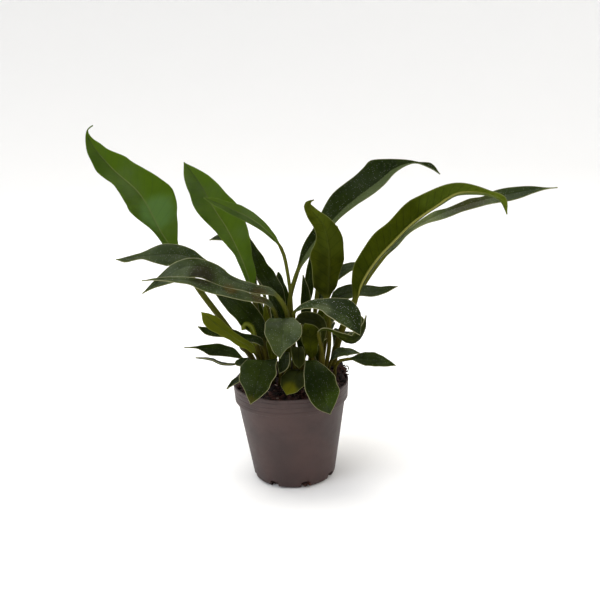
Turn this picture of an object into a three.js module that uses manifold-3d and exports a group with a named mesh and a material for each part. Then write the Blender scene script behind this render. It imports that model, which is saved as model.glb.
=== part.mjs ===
// A small potted fern: a clump of long-stalked strap fronds and short spoon-shaped
// fronds in a tapered plastic nursery pot filled with bark and peat.
// Millimetres, +Z up. The origin is the centre of the pot's flat underside, the fern's
// front faces -Y.

import * as THREE from "three";
import { mergeVertices } from "three/addons/utils/BufferGeometryUtils.js";
import Module from "manifold-3d";

const wasm = await Module();
wasm.setup();

// Pot
const potHigh = 65;
const rimRadius = 37.5;
const rimBandHigh = 11.5;
const rimCorner = 0.45;
const rimBandFoot = 36.8;
const wallTopRadius = 35.2;
const baseRadius = 26.8;
const baseCorner = 1.4;
const wallThick = 1.3;
const floorThick = 2.2;
const potSides = 48;

// Fine rings round the rim band, measured down from the rim
const ringLevels = [2.2, 5.4, 8.6];
const ringHigh = 0.8;
const ringDeep = 0.25;

// Drain slots through the bottom corner of the pot
const slotCount = 8;
const slotTurn = 14;
const slotWide = 6;
const slotHigh = 4.4;
const slotInner = 22.5;
const slotOuter = 30;

// Potting mix
const soilGap = 0.35;
const soilEdgeHigh = 63.6;
const soilMound = 2.2;
const soilLump = 0.7;
const soilRings = 6;
const soilSides = 32;
const soilHeaps = [
  { at: [-28.5, 5], high: 9.5, wide: 7.5 },
  { at: [29.5, 6.5], high: 10, wide: 7 },
  { at: [26, 20], high: 3.6, wide: 8 },
];

// Fronds
const rootDeep = 7;
const holeClear = 0.4;
const holeSides = 6;
const holeAbove = 12;
const edgeThick = 0.65;
const edgeShare = 0.4;
const bladeThick = 0.85;
const ribDeep = 0.5;
const tipHalf = 0.5;
const ribTaper = 0.45;
const stalkBlend = 0.14;
const broadBlade = 13.5;
const stalkStep = 14;
const bladeStep = 7;
const bladeStepsLeast = 7;
const bladeStepsMost = 16;

// Usual outline of a short blade
const usual = { peak: 0.45, base: 1.3, tip: 0.9 };

// Colours
const leafGreen = 0x3f6b2f;
const youngGreen = 0x7f9a34;
const potGrey = 0x8b7f86;
const soilBrown = 0x3a241c;

// Each frond is one row. stem is the stalk's diameter, route the midrib from the foot in
// the mix to the tip, lean the compass heading of the arch in degrees (0 is +X, 90 is +Y).
// roll turns the blade about the midrib at even stations and lifts its right half. stalk
// is the bare share of the length, fold lifts both halves off the flat and foldRight the
// right one where it differs, wave gives the waves, height and phase of the margins. left
// and right are half widths at even stations from base to tip, or else wide, peak, base
// and tip shape both halves alike.
const fronds = [
  // Tall and drooping fronds at the left
  { name: "frond_left_tall_1", stem: 4,
    route: [[-18.5, 7, 65], [-28.5, 8, 84.5], [-35, 9, 92.5], [-44, 11, 105.8],
      [-56, 14, 123.4], [-65, 16, 139.5], [-78, 18, 161], [-90.5, 18, 188],
      [-105.5, 16, 204.5], [-116.5, 14, 220.5], [-118.3, 12.5, 227.5], [-117.3, 11.5, 230],
      [-113.9, 10, 232.2]],
    lean: 180, roll: [60, 66, 62], stalk: 0.43, fold: 16, wave: [2.5, 1.5, 0.8],
    left: [4, 4, 4, 4, 4, 5, 8, 11.5, 13, 12, 11.5, 10, 8, 8.5, 9, 7.5, 6, 3, 0.5],
    right: [4.5, 4.5, 5, 8.5, 12, 14.5, 17, 18, 18.5, 16, 14, 13, 12, 11, 8.5, 6, 4.5, 2, 0.5] },
  { name: "frond_left_tall_2", stem: 3.4,
    route: [[-13, 2.5, 65], [-17, 2, 89], [-19, 2, 106], [-22, 3, 125], [-27, 4, 144],
      [-35.5, 6, 164.5], [-44, 6, 180], [-51, 4, 195], [-59, 0, 208.5]],
    lean: 180, roll: [70, 70, 65], stalk: 0.37, fold: 15,
    left: [2.5, 2.5, 3, 3.5, 3.5, 5, 6.5, 8, 9.5, 10.5, 11, 11, 10, 9, 6],
    right: [3, 5, 6, 6.5, 8.5, 10.5, 12, 12.5, 13, 13, 12, 10.5, 8, 5.5, 3] },
  { name: "frond_left_arch", stem: 2.2,
    route: [[2.5, 1.5, 65], [2, -3, 93], [2.5, -5, 114.5], [1, -8, 138.5], [-2, -10, 154],
      [-9, -12, 164.5], [-19, -14, 174], [-33, -16, 182], [-47, -17, 189]],
    lean: 180, roll: [40, 40, 40], stalk: 0.61, fold: 12,
    left: [2, 3, 4, 5, 5, 4, 3], right: [2, 3, 4, 5, 5, 4, 3] },
  { name: "frond_left_droop_1", stem: 2.6,
    route: [[-16.5, -1, 65], [-18, -2.5, 89.5], [-23, -4, 108.5], [-31.5, -5, 130],
      [-41, -4, 141.5], [-54, -1, 147.5], [-68, 2, 151], [-87, 4, 150.5], [-107, 6, 148.5]],
    lean: 180, roll: [45, 50, 45], stalk: 0.48, fold: 10, wave: [3, 1, 1],
    left: [3.5, 3.5, 3.5, 3, 4, 6, 9.5, 7.5, 5.5, 3, 3, 3],
    right: [2, 1.5, 1.5, 2.5, 5, 6.5, 7, 7, 5, 3, 2, 1] },
  { name: "frond_left_droop_2", stem: 3,
    route: [[-2, 2, 65], [-0.5, -6, 95], [-1, -12, 115], [-8, -14.8, 127.3],
      [-19.5, -17.5, 132.2], [-34.5, -20, 139], [-48, -21, 147], [-60, -22, 148.5],
      [-71.5, -21, 143], [-88, -20, 132.5]],
    lean: 180, roll: [20, 25, 50, 50, 40], stalk: 0.38, fold: 10,
    left: [2.5, 3.5, 4.5, 5, 6.5, 8, 8.5, 8.5, 8, 7, 5, 2],
    right: [2.5, 2.5, 2.3, 2.2, 2.8, 4.2, 4.6, 5, 5, 5, 3.5, 2] },
  { name: "frond_left_droop_3", stem: 2.6,
    route: [[-6, -4, 65], [-6, -6, 90], [-6.5, -9, 107], [-12, -18, 122.5], [-26.5, -26, 130],
      [-41.5, -30, 136], [-57.5, -32, 142], [-72, -33, 144], [-85.5, -34, 144]],
    lean: 180, roll: [40, 40, 40], stalk: 0.36, fold: 10,
    left: [2, 2.5, 3.5, 4, 4.5, 4.5, 5, 5, 3, 2.5, 1.5, 0.5],
    right: [2, 2, 2, 3, 2.5, 2.5, 3, 3, 2.5, 2, 1.5, 1] },
  { name: "frond_left_inner", stem: 2.6,
    route: [[-13.5, -5, 65], [-15.5, -5, 87], [-18.5, -6.1, 101], [-25.5, -9, 113],
      [-34.5, -12.2, 123.5], [-45, -16, 131]],
    lean: 180, roll: [60, 60], stalk: 0.35, fold: 10,
    left: [4, 6.5, 8, 8.5, 8, 7, 4.5], right: [4, 6, 7, 7, 5.5, 4.5, 3] },
  // Low and young fronds at the left
  { name: "frond_left_low_1", stem: 2.2,
    route: [[-15.3, -8.9, 65], [-15.2, -12.8, 87], [-17, -15, 95], [-20, -17.5, 98.5],
      [-25, -18.2, 100.3], [-31, -18.7, 101.7], [-40, -19, 104.5], [-49, -19, 106.5],
      [-56, -19, 109.5]],
    lean: 180, roll: [40, 50], stalk: 0.36, fold: 10,
    left: [2, 2.5, 3, 3, 3, 3, 3.5, 3.5, 3], right: [2, 2.5, 2.5, 2.5, 3.5, 3.5, 3, 2, 1.5] },
  { name: "frond_left_low_2", stem: 2.2,
    route: [[-21, 2, 65], [-26, -1, 77], [-33, -3, 83], [-42.5, -5, 88], [-55, -7, 91.5],
      [-66.5, -9, 93]],
    lean: 180, roll: [40, 40], stalk: 0.33, fold: 10,
    left: [1.5, 2.5, 3.5, 4.5, 5.2, 5.2, 3.2, 0.8, 0.5], right: [3, 4, 4.5, 4.5, 4, 3, 2, 1, 0.5] },
  { name: "frond_left_low_3", stem: 1.8,
    route: [[-23, -2, 65], [-26, -4, 76], [-32, -6, 79.5], [-38.5, -8, 80], [-44, -9, 81],
      [-49, -10, 84], [-53, -11, 85.5], [-59.5, -12, 87]],
    lean: 180, roll: [-10, -10], stalk: 0.4, fold: 10,
    wide: 7, peak: 0.45, base: 1.3, tip: 0.9 },
  { name: "frond_left_low_4", stem: 2,
    route: [[-23, -7, 65], [-24.5, -9, 77], [-28, -11, 81], [-35, -13, 82]],
    lean: 190, roll: [30, 30], stalk: 0.4, fold: 10,
    wide: 9, peak: 0.45, base: 1.3, tip: 0.5 },
  { name: "frond_left_low_5", stem: 2,
    route: [[-21.5, -14.5, 65], [-23, -16, 73], [-29, -20, 75], [-34, -24, 74], [-40, -28, 71]],
    lean: 200, roll: [0, 0], stalk: 0.4, fold: 10,
    wide: 8, peak: 0.45, base: 1.3, tip: 0.9 },
  { name: "young_frond_1", stem: 2.4,
    route: [[-20, -10.5, 65], [-19, -16.5, 83.5], [-21.5, -20, 91], [-25, -22, 96],
      [-31, -25, 101], [-39, -27.5, 108.5], [-46, -29.5, 116], [-52, -30.5, 122]],
    lean: 180, roll: [50, 60], stalk: 0.35, fold: 10,
    left: [2, 2.5, 3, 3, 3, 4, 4.5, 5.5, 5], right: [2, 2.5, 3, 3, 3, 3.5, 4, 3.5, 2.5] },
  { name: "young_frond_2", stem: 2,
    route: [[-11.5, -2, 65], [-12.5, -0.5, 89], [-13.5, -1.5, 104.5], [-14.5, -2, 117.5]],
    lean: 90, roll: [0], stalk: 0.4, fold: 10,
    wide: 5, peak: 0.45, base: 1.3, tip: 0.9 },
  { name: "crozier", stem: 3.4,
    route: [[-18.5, -5, 65], [-18.5, -9.2, 83.5], [-20.5, -12, 93], [-21.5, -13.4, 101],
      [-23, -14.4, 106.5], [-26, -15.1, 108.7], [-28.2, -15.2, 107], [-27.8, -15.2, 104.8]],
    lean: 180, roll: [0], stalk: 0.55, fold: 10, thick: 3,
    wide: 4.4, peak: 0.45, base: 1.3, tip: 0.9 },
  // Fronds in the middle of the clump
  { name: "frond_middle_1", stem: 2.2,
    route: [[-4, 8, 65], [-3, 11, 92], [-4, 14, 111], [-9, 15, 123], [-16, 15, 136],
      [-20, 13, 148], [-23, 10, 159]],
    lean: 180, roll: [60, 60], stalk: 0.35, fold: 10,
    wide: 12.5, peak: 0.45, base: 1.3, tip: 0.9 },
  { name: "frond_middle_2", stem: 2,
    route: [[0, 14, 65], [0, 18, 93], [-1, 20, 111], [-4, 21, 123], [-5, 21, 132]],
    lean: 100, roll: [0, 0], stalk: 0.45, fold: 10,
    wide: 7.5, peak: 0.45, base: 1.3, tip: 0.5 },
  { name: "frond_middle_3", stem: 2.2,
    route: [[-9, 16, 65], [-11, 20, 93], [-14, 24, 112], [-21, 28, 132], [-30, 30, 146],
      [-40, 30, 154], [-49, 28, 154]],
    lean: 180, roll: [20, 20], stalk: 0.5, fold: 10,
    left: [2, 4, 5, 5, 4.5, 4.5, 4, 3.5], right: [2, 4, 5, 5, 4.5, 4.5, 4, 3.5] },
  { name: "frond_middle_4", stem: 2.4,
    route: [[-7.5, 0.5, 65], [-5, -1, 93], [-5, -3, 108], [-8, -4, 120], [-12, -6, 129]],
    lean: 110, roll: [0, 0], stalk: 0.4, fold: 10,
    wide: 12, peak: 0.45, base: 1.3, tip: 0.9 },
  { name: "frond_middle_5", stem: 2,
    route: [[6, 15, 65], [8, 20, 89], [11, 25, 106], [15, 27, 121], [16, 28, 131.5],
      [17, 28, 142.5]],
    lean: 90, roll: [0, 0], stalk: 0.4, fold: 10,
    wide: 7, peak: 0.45, base: 1.3, tip: 0.9 },
  { name: "frond_middle_6", stem: 2,
    route: [[9, 10, 65], [10, 12, 90], [12, 14, 108], [12, 15, 120], [11, 14, 131]],
    lean: 90, roll: [0, 0], stalk: 0.4, fold: 10,
    wide: 7, peak: 0.45, base: 1.3, tip: 0.9 },
  { name: "frond_middle_7", stem: 2,
    route: [[16, -5, 65], [18, -6, 82], [20, -7, 89], [24, -7, 94]],
    lean: 0, roll: [40], stalk: 0.4, fold: 10,
    wide: 7, peak: 0.45, base: 1.3, tip: 0.9 },
  { name: "frond_middle_8", stem: 2,
    route: [[-11, -9.5, 65], [-11, -12, 81.5], [-11, -14, 90.5], [-11, -16.5, 97.5],
      [-12, -18, 105]],
    lean: 270, roll: [0, 0], stalk: 0.3, fold: 10,
    left: [2, 3, 4, 4.5, 4, 3, 1.5], right: [1.5, 2, 2.5, 3, 3.5, 2.5, 1.5] },
  { name: "frond_middle_9", stem: 2,
    route: [[0, -11.7, 65], [-1.5, -13.5, 79.5], [-1.5, -14.5, 86.5], [-1, -15.3, 92],
      [0.5, -15.5, 97.5]],
    lean: 270, roll: [0, 0], stalk: 0.3, fold: 10,
    left: [1.5, 2, 2.5, 2.5, 2.5, 2, 1], right: [1.5, 2.5, 3.5, 3.5, 3, 2, 1] },
  { name: "frond_middle_10", stem: 2,
    route: [[8, -4.5, 65], [7.5, -6, 78.5], [8.5, -7, 87], [9, -8, 95.5], [11, -9, 103.5]],
    lean: 270, roll: [0, 0], stalk: 0.3, fold: 10,
    left: [2, 3, 4.5, 5, 4.5, 3, 1.5], right: [1, 1.5, 2.5, 3.5, 4, 3, 1.5] },
  { name: "frond_middle_11", stem: 2,
    route: [[12, -0.5, 65], [15.5, -0.5, 83], [18.5, -0.5, 92], [21.5, -0.5, 98.5],
      [23.5, -0.5, 103]],
    lean: 270, roll: [0, 0], stalk: 0.4, fold: 10,
    left: [2, 3, 4, 4.5, 4, 3, 1.5], right: [2, 3, 4, 4.5, 4, 3, 1.5] },
  { name: "frond_middle_12", stem: 2,
    route: [[16, 3, 65], [18.5, 3, 90], [21.5, 2, 102.5], [24.5, 0, 113.5], [25.5, -2, 121.5]],
    lean: 290, roll: [0, 0], stalk: 0.45, fold: 10,
    left: [2, 3, 4, 4.5, 4, 3, 1.5], right: [2, 3, 4, 4.5, 4, 3, 1.5] },
  { name: "frond_middle_13", stem: 2,
    route: [[-10.5, 7.5, 65], [-15.5, 9.5, 86], [-17, 10, 99.5], [-18.5, 9, 111],
      [-19.5, 8, 120.5]],
    lean: 250, roll: [0, 0], stalk: 0.4, fold: 10,
    left: [2, 2.5, 3, 3.5, 3, 2.5, 1.5], right: [2, 2.5, 3, 3.5, 3, 2.5, 1.5] },
  // Fronds at the right
  { name: "frond_right_tall", stem: 3,
    route: [[4, 9, 65], [1.5, 12, 92], [1.5, 15, 113], [5.5, 18, 127], [12.6, 20, 142.5],
      [23.8, 23, 156], [37.5, 26, 169.5], [49.5, 28, 178.5], [62.5, 28, 187.5],
      [72.5, 26, 195.5], [84, 24, 199], [93.5, 22, 196.5], [101, 20, 191.5]],
    lean: 0, roll: [-65, -65, -55], stalk: 0.34, fold: 12, foldRight: 49,
    left: [2, 3.5, 5, 6, 8, 10, 11.5, 12, 12.5, 13.5, 13.5, 7, 3, 1, 3],
    right: [6, 8, 9, 8, 7, 7, 8, 9, 11, 12, 11, 8, 4, 1, 3] },
  { name: "frond_right_upright", stem: 2.8,
    route: [[20.5, -1.5, 65], [25, -3, 83], [26, -4, 100], [25.5, -5, 119], [27, -5, 135],
      [27.5, -3, 151], [24.5, 1, 166], [18.7, 5, 173.5], [15.8, 8.5, 177.7],
      [17.2, 10.5, 179.4], [19.7, 11.5, 180]],
    lean: 270, roll: [0, 0, 0], stalk: 0.42, fold: 10,
    left: [3, 5.5, 6, 7.5, 9.5, 9.5, 9.5, 8.5, 6.5, 4.5, 3, 2],
    right: [8, 9.5, 10.5, 11.2, 12, 11.5, 8.5, 6.5, 6, 5.5, 4.5, 2.5] },
  { name: "frond_right_arch_1", stem: 4.4,
    route: [[26, 5, 65], [30, 3, 82], [35, -1, 99.5], [42, -6, 116.5], [47.5, -9, 131],
      [56.5, -12, 145.5], [67, -14, 157], [78, -16, 168], [92, -18, 178], [104.5, -20, 185.5],
      [120.5, -22, 185.5], [130, -24, 181.5], [133, -26, 172.5]],
    lean: 0, roll: [45, 43, 40], stalk: 0.28, fold: 20,
    left: [6, 8, 9, 9, 8.5, 8, 8, 8, 7.5, 8, 10, 10, 8, 5.5, 3],
    right: [5.5, 8, 11.5, 13, 14.5, 15, 14.5, 14, 14.5, 13.5, 11, 7.5, 4, 2, 2.5] },
  { name: "frond_right_arch_2", stem: 3.2,
    route: [[29, 10, 65], [32, 14, 86], [40, 18, 103], [51, 22, 121], [64, 26, 137],
      [82, 30, 153], [103, 33, 163], [124.5, 35, 169], [147, 36, 173.5], [165, 36, 176],
      [181.5, 36, 177]],
    lean: 0, roll: [-38, -38, -35], stalk: 0.38, fold: 12,
    left: [2.5, 1.5, 1.5, 2, 3, 4, 2.5, 3, 4, 3, 5, 5.5, 4.5, 3, 1],
    right: [3.5, 3.5, 2, 2, 3, 5, 6, 5.5, 5.5, 6, 7, 7, 6, 3.5, 1] },
  { name: "frond_right_low_1", stem: 2.4,
    route: [[20.5, 8.7, 65], [23.5, 7.5, 86], [27, 6, 106.5], [33, 5.5, 117], [43, 4, 120.5],
      [57, 0, 121], [70, -4, 125.3]],
    lean: 0, roll: [-25, -25], stalk: 0.45, fold: 10,
    left: [3, 6.5, 7.5, 6.5, 6, 5.5, 4, 2.5], right: [3, 6, 6.8, 5.6, 5, 5, 4, 2.5] },
  { name: "frond_right_low_2", stem: 2.4,
    route: [[8, 20, 65], [12, 24, 87], [20, 28, 105], [26, 30, 118.5], [34, 30, 126],
      [44, 29, 131], [54, 27, 133]],
    lean: 0, roll: [-25, -25], stalk: 0.4, fold: 10,
    wide: 15, peak: 0.45, base: 1.3, tip: 0.9 },
  { name: "frond_right_low_3", stem: 2,
    route: [[23.5, 1, 65], [27, -1, 77.5], [31, -3.5, 83], [39, -5.5, 84], [45, -7, 83]],
    lean: 0, roll: [-20], stalk: 0.35, fold: 10,
    left: [2, 3, 3.5, 3, 2.5, 1.5], right: [3, 4.5, 6, 6, 5, 3] },
  { name: "frond_right_low_4", stem: 2.2,
    route: [[28, -8, 65], [30, -11, 79], [39, -14, 82], [47, -17, 82.5], [56, -20, 81.5],
      [66, -22, 79]],
    lean: 0, roll: [-40, -40], stalk: 0.42, fold: 10,
    wide: 10.5, peak: 0.45, base: 1.3, tip: 0.9 },
  // Fronds at the front, the lowest of them over the rim
  { name: "frond_front_1", stem: 2.6,
    route: [[2.5, -8, 65], [3, -7.5, 92], [3.3, -8.7, 107], [3.8, -10.8, 113],
      [7.5, -14.2, 117], [14.5, -19, 120.5], [22, -24, 120.5], [29, -29, 119],
      [36.5, -33, 114.5], [43, -36, 104.5]],
    lean: 0, roll: [-10, -30, -40], stalk: 0.46, fold: 10,
    left: [1.5, 2, 3, 4.5, 7, 9.5, 11, 9.5, 5.5], right: [2, 2.5, 3.5, 4, 5, 7.5, 9, 8.5, 5] },
  { name: "frond_front_2", stem: 2.4,
    route: [[20.5, -14, 65], [20.5, -19.5, 88], [18.5, -23.5, 101], [18.5, -25, 105],
      [22.5, -26, 106.5], [28.5, -27, 104], [34.5, -27.5, 100.5], [39, -28, 99],
      [43, -27.6, 101.5], [46.2, -26.8, 106.5], [47.6, -26.4, 114]],
    lean: 0, roll: [10, 15, 15, 40, 45, 20], stalk: 0.46, fold: 10,
    left: [1.2, 1.6, 3.2, 5.5, 7, 6.4, 5, 3], right: [1.2, 1.4, 2.2, 3.4, 4.8, 5.6, 5, 3] },
  { name: "frond_front_3", stem: 2.4,
    route: [[18.5, -9, 65], [20, -11, 89.5], [21.5, -12, 99.5], [19.5, -12.5, 106.5],
      [15, -12.5, 109], [9.5, -12.6, 109.7], [6.3, -12.7, 109], [4.2, -12.8, 107.8]],
    lean: 180, roll: [60, 80, 80], stalk: 0.45, fold: 10,
    left: [1.5, 2, 3, 3.8, 4.4, 4.4, 3.4], right: [1.5, 2, 3, 3.8, 4.4, 4.4, 3.4] },
  { name: "frond_front_4", stem: 2.8,
    route: [[-3, -8, 65], [-3, -12, 93], [-3, -14, 106], [-3, -19, 112], [-3, -27, 110],
      [-4, -33, 103], [-6, -37, 92.5]],
    lean: 270, roll: [0, 0], stalk: 0.5, fold: 5,
    left: [8, 7, 6, 7, 9, 11, 11.5, 10.5, 7.5, 3.5, 1.5],
    right: [9, 8, 7.5, 9.5, 11, 11.5, 11, 10.5, 9, 6.5, 4.5] },
  { name: "frond_front_5", stem: 2.6,
    route: [[14, -9.5, 65], [14, -15, 83], [13, -19, 93], [13, -21.5, 102], [10, -24, 110]],
    lean: 270, roll: [0, 0], stalk: 0.4, fold: 5,
    left: [3.5, 4, 4.5, 5, 5.5, 6.2, 7, 5.5, 3.5], right: [4.2, 3.8, 3.6, 4.2, 5, 5.5, 5.5, 5, 3] },
  { name: "frond_front_6", stem: 2,
    route: [[-7.5, -12, 65], [-4.5, -16, 85], [-3.3, -20, 90], [-3.8, -25, 86],
      [-5.2, -27.5, 82.5], [-7, -29.5, 80]],
    lean: 260, roll: [0, 0], stalk: 0.4, fold: 10,
    left: [1.5, 2.2, 3, 3.6, 3.8, 3], right: [2, 2.4, 2.8, 3.2, 3.3, 2.8] },
  { name: "frond_front_7", stem: 2,
    route: [[6.5, -10, 65], [6, -12, 86], [5.5, -16, 92], [5.5, -21, 89.5], [5.5, -24, 85.5],
      [5.5, -25, 81]],
    lean: 270, roll: [0], stalk: 0.4, fold: 10,
    left: [1.5, 2, 2.4, 3, 3.8, 3.8, 3], right: [2, 3, 4, 4.5, 4.5, 4, 3] },
  { name: "frond_front_8", stem: 2.6,
    route: [[-16.5, -14, 65], [-16, -20, 82], [-16, -27, 88], [-18, -34, 84], [-21, -40, 77],
      [-25, -45, 67]],
    lean: 270, roll: [0, 0], stalk: 0.3, fold: 5,
    left: [8, 8, 9, 9.5, 8.5, 7, 4], right: [8, 9.5, 11.5, 12.5, 12, 9, 4.5] },
  { name: "frond_front_9", stem: 2.6,
    route: [[13, -14, 65], [13, -19, 80], [13, -26, 86], [15, -34, 81], [18, -40, 71],
      [23, -45, 58]],
    lean: 270, roll: [0, 0], stalk: 0.3, fold: 5,
    left: [2, 5, 8.5, 10.5, 11, 10.5, 6], right: [3, 5, 7, 8.5, 8.5, 8, 5.5] },
  { name: "frond_front_10", stem: 2.2,
    route: [[8, -14.5, 65], [7.5, -19, 76.5], [5, -25, 79], [1.5, -30, 74.5], [-3, -35, 68]],
    lean: 250, roll: [0, 0], stalk: 0.4, fold: 10,
    left: [3, 5, 7, 8, 8, 7, 4.5], right: [3, 5, 7, 8, 8, 7, 4.5] },
  // Fronds at the back
  { name: "frond_back_1", stem: 2.6,
    route: [[-4.5, 17.5, 65], [-5.5, 22, 78], [-7, 31, 85], [-8, 43, 86], [-8, 55, 81],
      [-7, 65, 72]],
    lean: 95, roll: [0, 0], stalk: 0.3, fold: 8,
    wide: 21, peak: 0.5, base: 1.1, tip: 0.8 },
  { name: "frond_back_2", stem: 2.6,
    route: [[12.5, 19, 65], [15, 25, 79], [18, 34, 86], [21, 45, 87], [24, 56, 82],
      [26, 65, 72]],
    lean: 75, roll: [0, 5], stalk: 0.3, fold: 8,
    wide: 21, peak: 0.5, base: 1.1, tip: 0.8 },
  { name: "frond_back_3", stem: 2.4,
    route: [[-20, 12, 65], [-21.5, 17, 76], [-23, 25, 81], [-25, 34, 81], [-28, 43, 75],
      [-30, 50, 67]],
    lean: 125, roll: [0, -5], stalk: 0.3, fold: 8,
    wide: 17, peak: 0.5, base: 1.1, tip: 0.8 },
  { name: "frond_back_4", stem: 2.4,
    route: [[27, 15, 65], [30, 19, 79], [34, 24, 86], [38, 30, 86], [42, 36, 82], [46, 41, 75]],
    lean: 50, roll: [0, 0], stalk: 0.3, fold: 8,
    wide: 15, peak: 0.5, base: 1.1, tip: 0.8 },
  { name: "frond_back_5", stem: 3,
    route: [[15, 12, 65], [17, 19, 95], [21, 28, 120], [25, 40, 138], [28, 54, 148],
      [30, 70, 150], [31, 86, 145], [32, 99, 135]],
    lean: 85, roll: [0, 0, 0], stalk: 0.36, fold: 10,
    wide: 18, peak: 0.45, base: 1.3, tip: 1 },
  { name: "frond_back_6", stem: 3,
    route: [[-12, 12, 65], [-15, 20, 95], [-21, 31, 123], [-29, 47, 146], [-37, 63, 157],
      [-45, 80, 158], [-51, 95, 151]],
    lean: 120, roll: [-10, -5, 0], stalk: 0.36, fold: 10,
    wide: 16, peak: 0.45, base: 1.3, tip: 1 },
  { name: "frond_back_7", stem: 2.6,
    route: [[20, 15, 65], [24, 25, 84], [31, 38, 93], [40, 52, 92], [49, 65, 84], [55, 74, 74]],
    lean: 55, roll: [0, 0], stalk: 0.36, fold: 8,
    wide: 16, peak: 0.45, base: 1.2, tip: 0.9 },
  { name: "frond_back_8", stem: 2.6,
    route: [[-13, 18, 65], [-16, 28, 84], [-19, 41, 94], [-22, 56, 94], [-26, 69, 86],
      [-30, 79, 76]],
    lean: 108, roll: [0, 0], stalk: 0.36, fold: 8,
    wide: 16, peak: 0.45, base: 1.2, tip: 0.9 },
];

const radians = THREE.MathUtils.degToRad;

function smoothAt(values, t) {
  if (values.length === 1) return values[0];
  const last = values.length - 1;
  const padded = [2 * values[0] - values[1], ...values, 2 * values[last] - values[last - 1]];
  const x = THREE.MathUtils.clamp(t, 0, 1) * last;
  const i = Math.min(Math.floor(x), last - 1);
  const f = x - i;
  const [a, b, c, d] = padded.slice(i, i + 4);
  return b + 0.5 * f * (c - a + f * (2 * a - 5 * b + 4 * c - d + f * (3 * (b - c) + d - a)));
}

function halfWidths(row, b) {
  if (row.left) {
    const left = smoothAt([0, ...row.left, 0], b);
    const right = smoothAt([0, ...row.right, 0], b);
    return [Math.max(left, tipHalf), Math.max(right, tipHalf)];
  }
  const { peak, base, tip } = { ...usual, ...row };
  const rise = Math.sin((Math.PI / 2) * Math.min(b / peak, 1)) ** base;
  const past = THREE.MathUtils.clamp((b - peak) / (1 - peak), 0, 1);
  const fall = Math.max(Math.cos((Math.PI / 2) * past), 0) ** tip;
  const half = Math.max((row.wide / 2) * rise * fall, tipHalf);
  return [half, half];
}

// Local axes of the blade at t: across to the right, along, and out of the upper face
function axesAt(row, curve, t) {
  const along = curve.getTangentAt(t);
  const heading = radians(row.lean);
  const across = new THREE.Vector3(Math.sin(heading), -Math.cos(heading), 0);
  across.addScaledVector(along, -across.dot(along)).normalize();
  const out = new THREE.Vector3().crossVectors(across, along);
  const roll = radians(smoothAt(row.roll, t));
  const rolledAcross = across.clone().multiplyScalar(Math.cos(roll));
  rolledAcross.addScaledVector(out, Math.sin(roll));
  const rolledOut = out.clone().multiplyScalar(Math.cos(roll));
  rolledOut.addScaledVector(across, -Math.sin(roll));
  return { along, across: rolledAcross, out: rolledOut };
}

function curveOf(row) {
  const points = row.route.map((p) => new THREE.Vector3(...p));
  const curve = new THREE.CatmullRomCurve3(points, false, "centripetal");
  curve.arcLengthDivisions = 400;
  return curve;
}

function stationsOf(row, long) {
  const stalkSteps = Math.max(3, Math.round((row.stalk * long) / stalkStep));
  const wanted = Math.round(((1 - row.stalk) * long) / bladeStep);
  const bladeSteps = THREE.MathUtils.clamp(wanted, bladeStepsLeast, bladeStepsMost);
  const stations = [];
  for (let i = 0; i < stalkSteps; i++) stations.push((row.stalk * i) / stalkSteps);
  for (let i = 0; i <= bladeSteps; i++) {
    stations.push(row.stalk + ((1 - row.stalk) * i) / bladeSteps);
  }
  return stations;
}

// One cross-section: the upper points from left to right, then the lower ones likewise
function sectionAt(row, curve, t, lines) {
  const { along, across, out } = axesAt(row, curve, t);
  const centre = curve.getPointAt(t);
  const b = THREE.MathUtils.clamp((t - row.stalk) / (1 - row.stalk), 0, 1);
  const flat = THREE.MathUtils.smoothstep(b, 0, stalkBlend);
  const [left, right] = halfWidths(row, b);
  const radius = (row.stem / 2) * (1 - (1 - ribTaper) * flat);
  const middle = row.thick ?? bladeThick;
  const edge = Math.max(edgeThick, middle * edgeShare);
  const upper = [];
  const lower = [];
  for (let i = 0; i < lines; i++) {
    const u = (2 * i) / (lines - 1) - 1;
    const side = Math.sign(u);
    const w = u * (u < 0 ? left : right);
    const fold = radians(side > 0 ? (row.foldRight ?? row.fold) : row.fold);
    let lift = Math.abs(w) * Math.sin(fold);
    if (row.wave) {
      const [waves, high, phase] = row.wave;
      const turn = 2 * Math.PI * waves * b + phase * side;
      lift += high * u * u * Math.sin(turn) * Math.sin(Math.PI * b);
    }
    const thick = middle + (edge - middle) * Math.abs(u);
    const rib = u === 0 ? ribDeep * (1 - b) : 0;
    const angle = Math.PI * (1 - (i + 0.5) / lines);
    const round = radius * Math.cos(angle);
    const high = radius * Math.sin(angle);
    const x = THREE.MathUtils.lerp(round, w * Math.cos(fold), flat);
    const top = THREE.MathUtils.lerp(high, lift + thick / 2, flat);
    const under = THREE.MathUtils.lerp(-high, lift - thick / 2 - rib, flat);
    upper.push(centre.clone().addScaledVector(across, x).addScaledVector(out, top));
    lower.push(centre.clone().addScaledVector(across, x).addScaledVector(out, under));
  }
  return { upper, lower, along };
}

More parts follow.
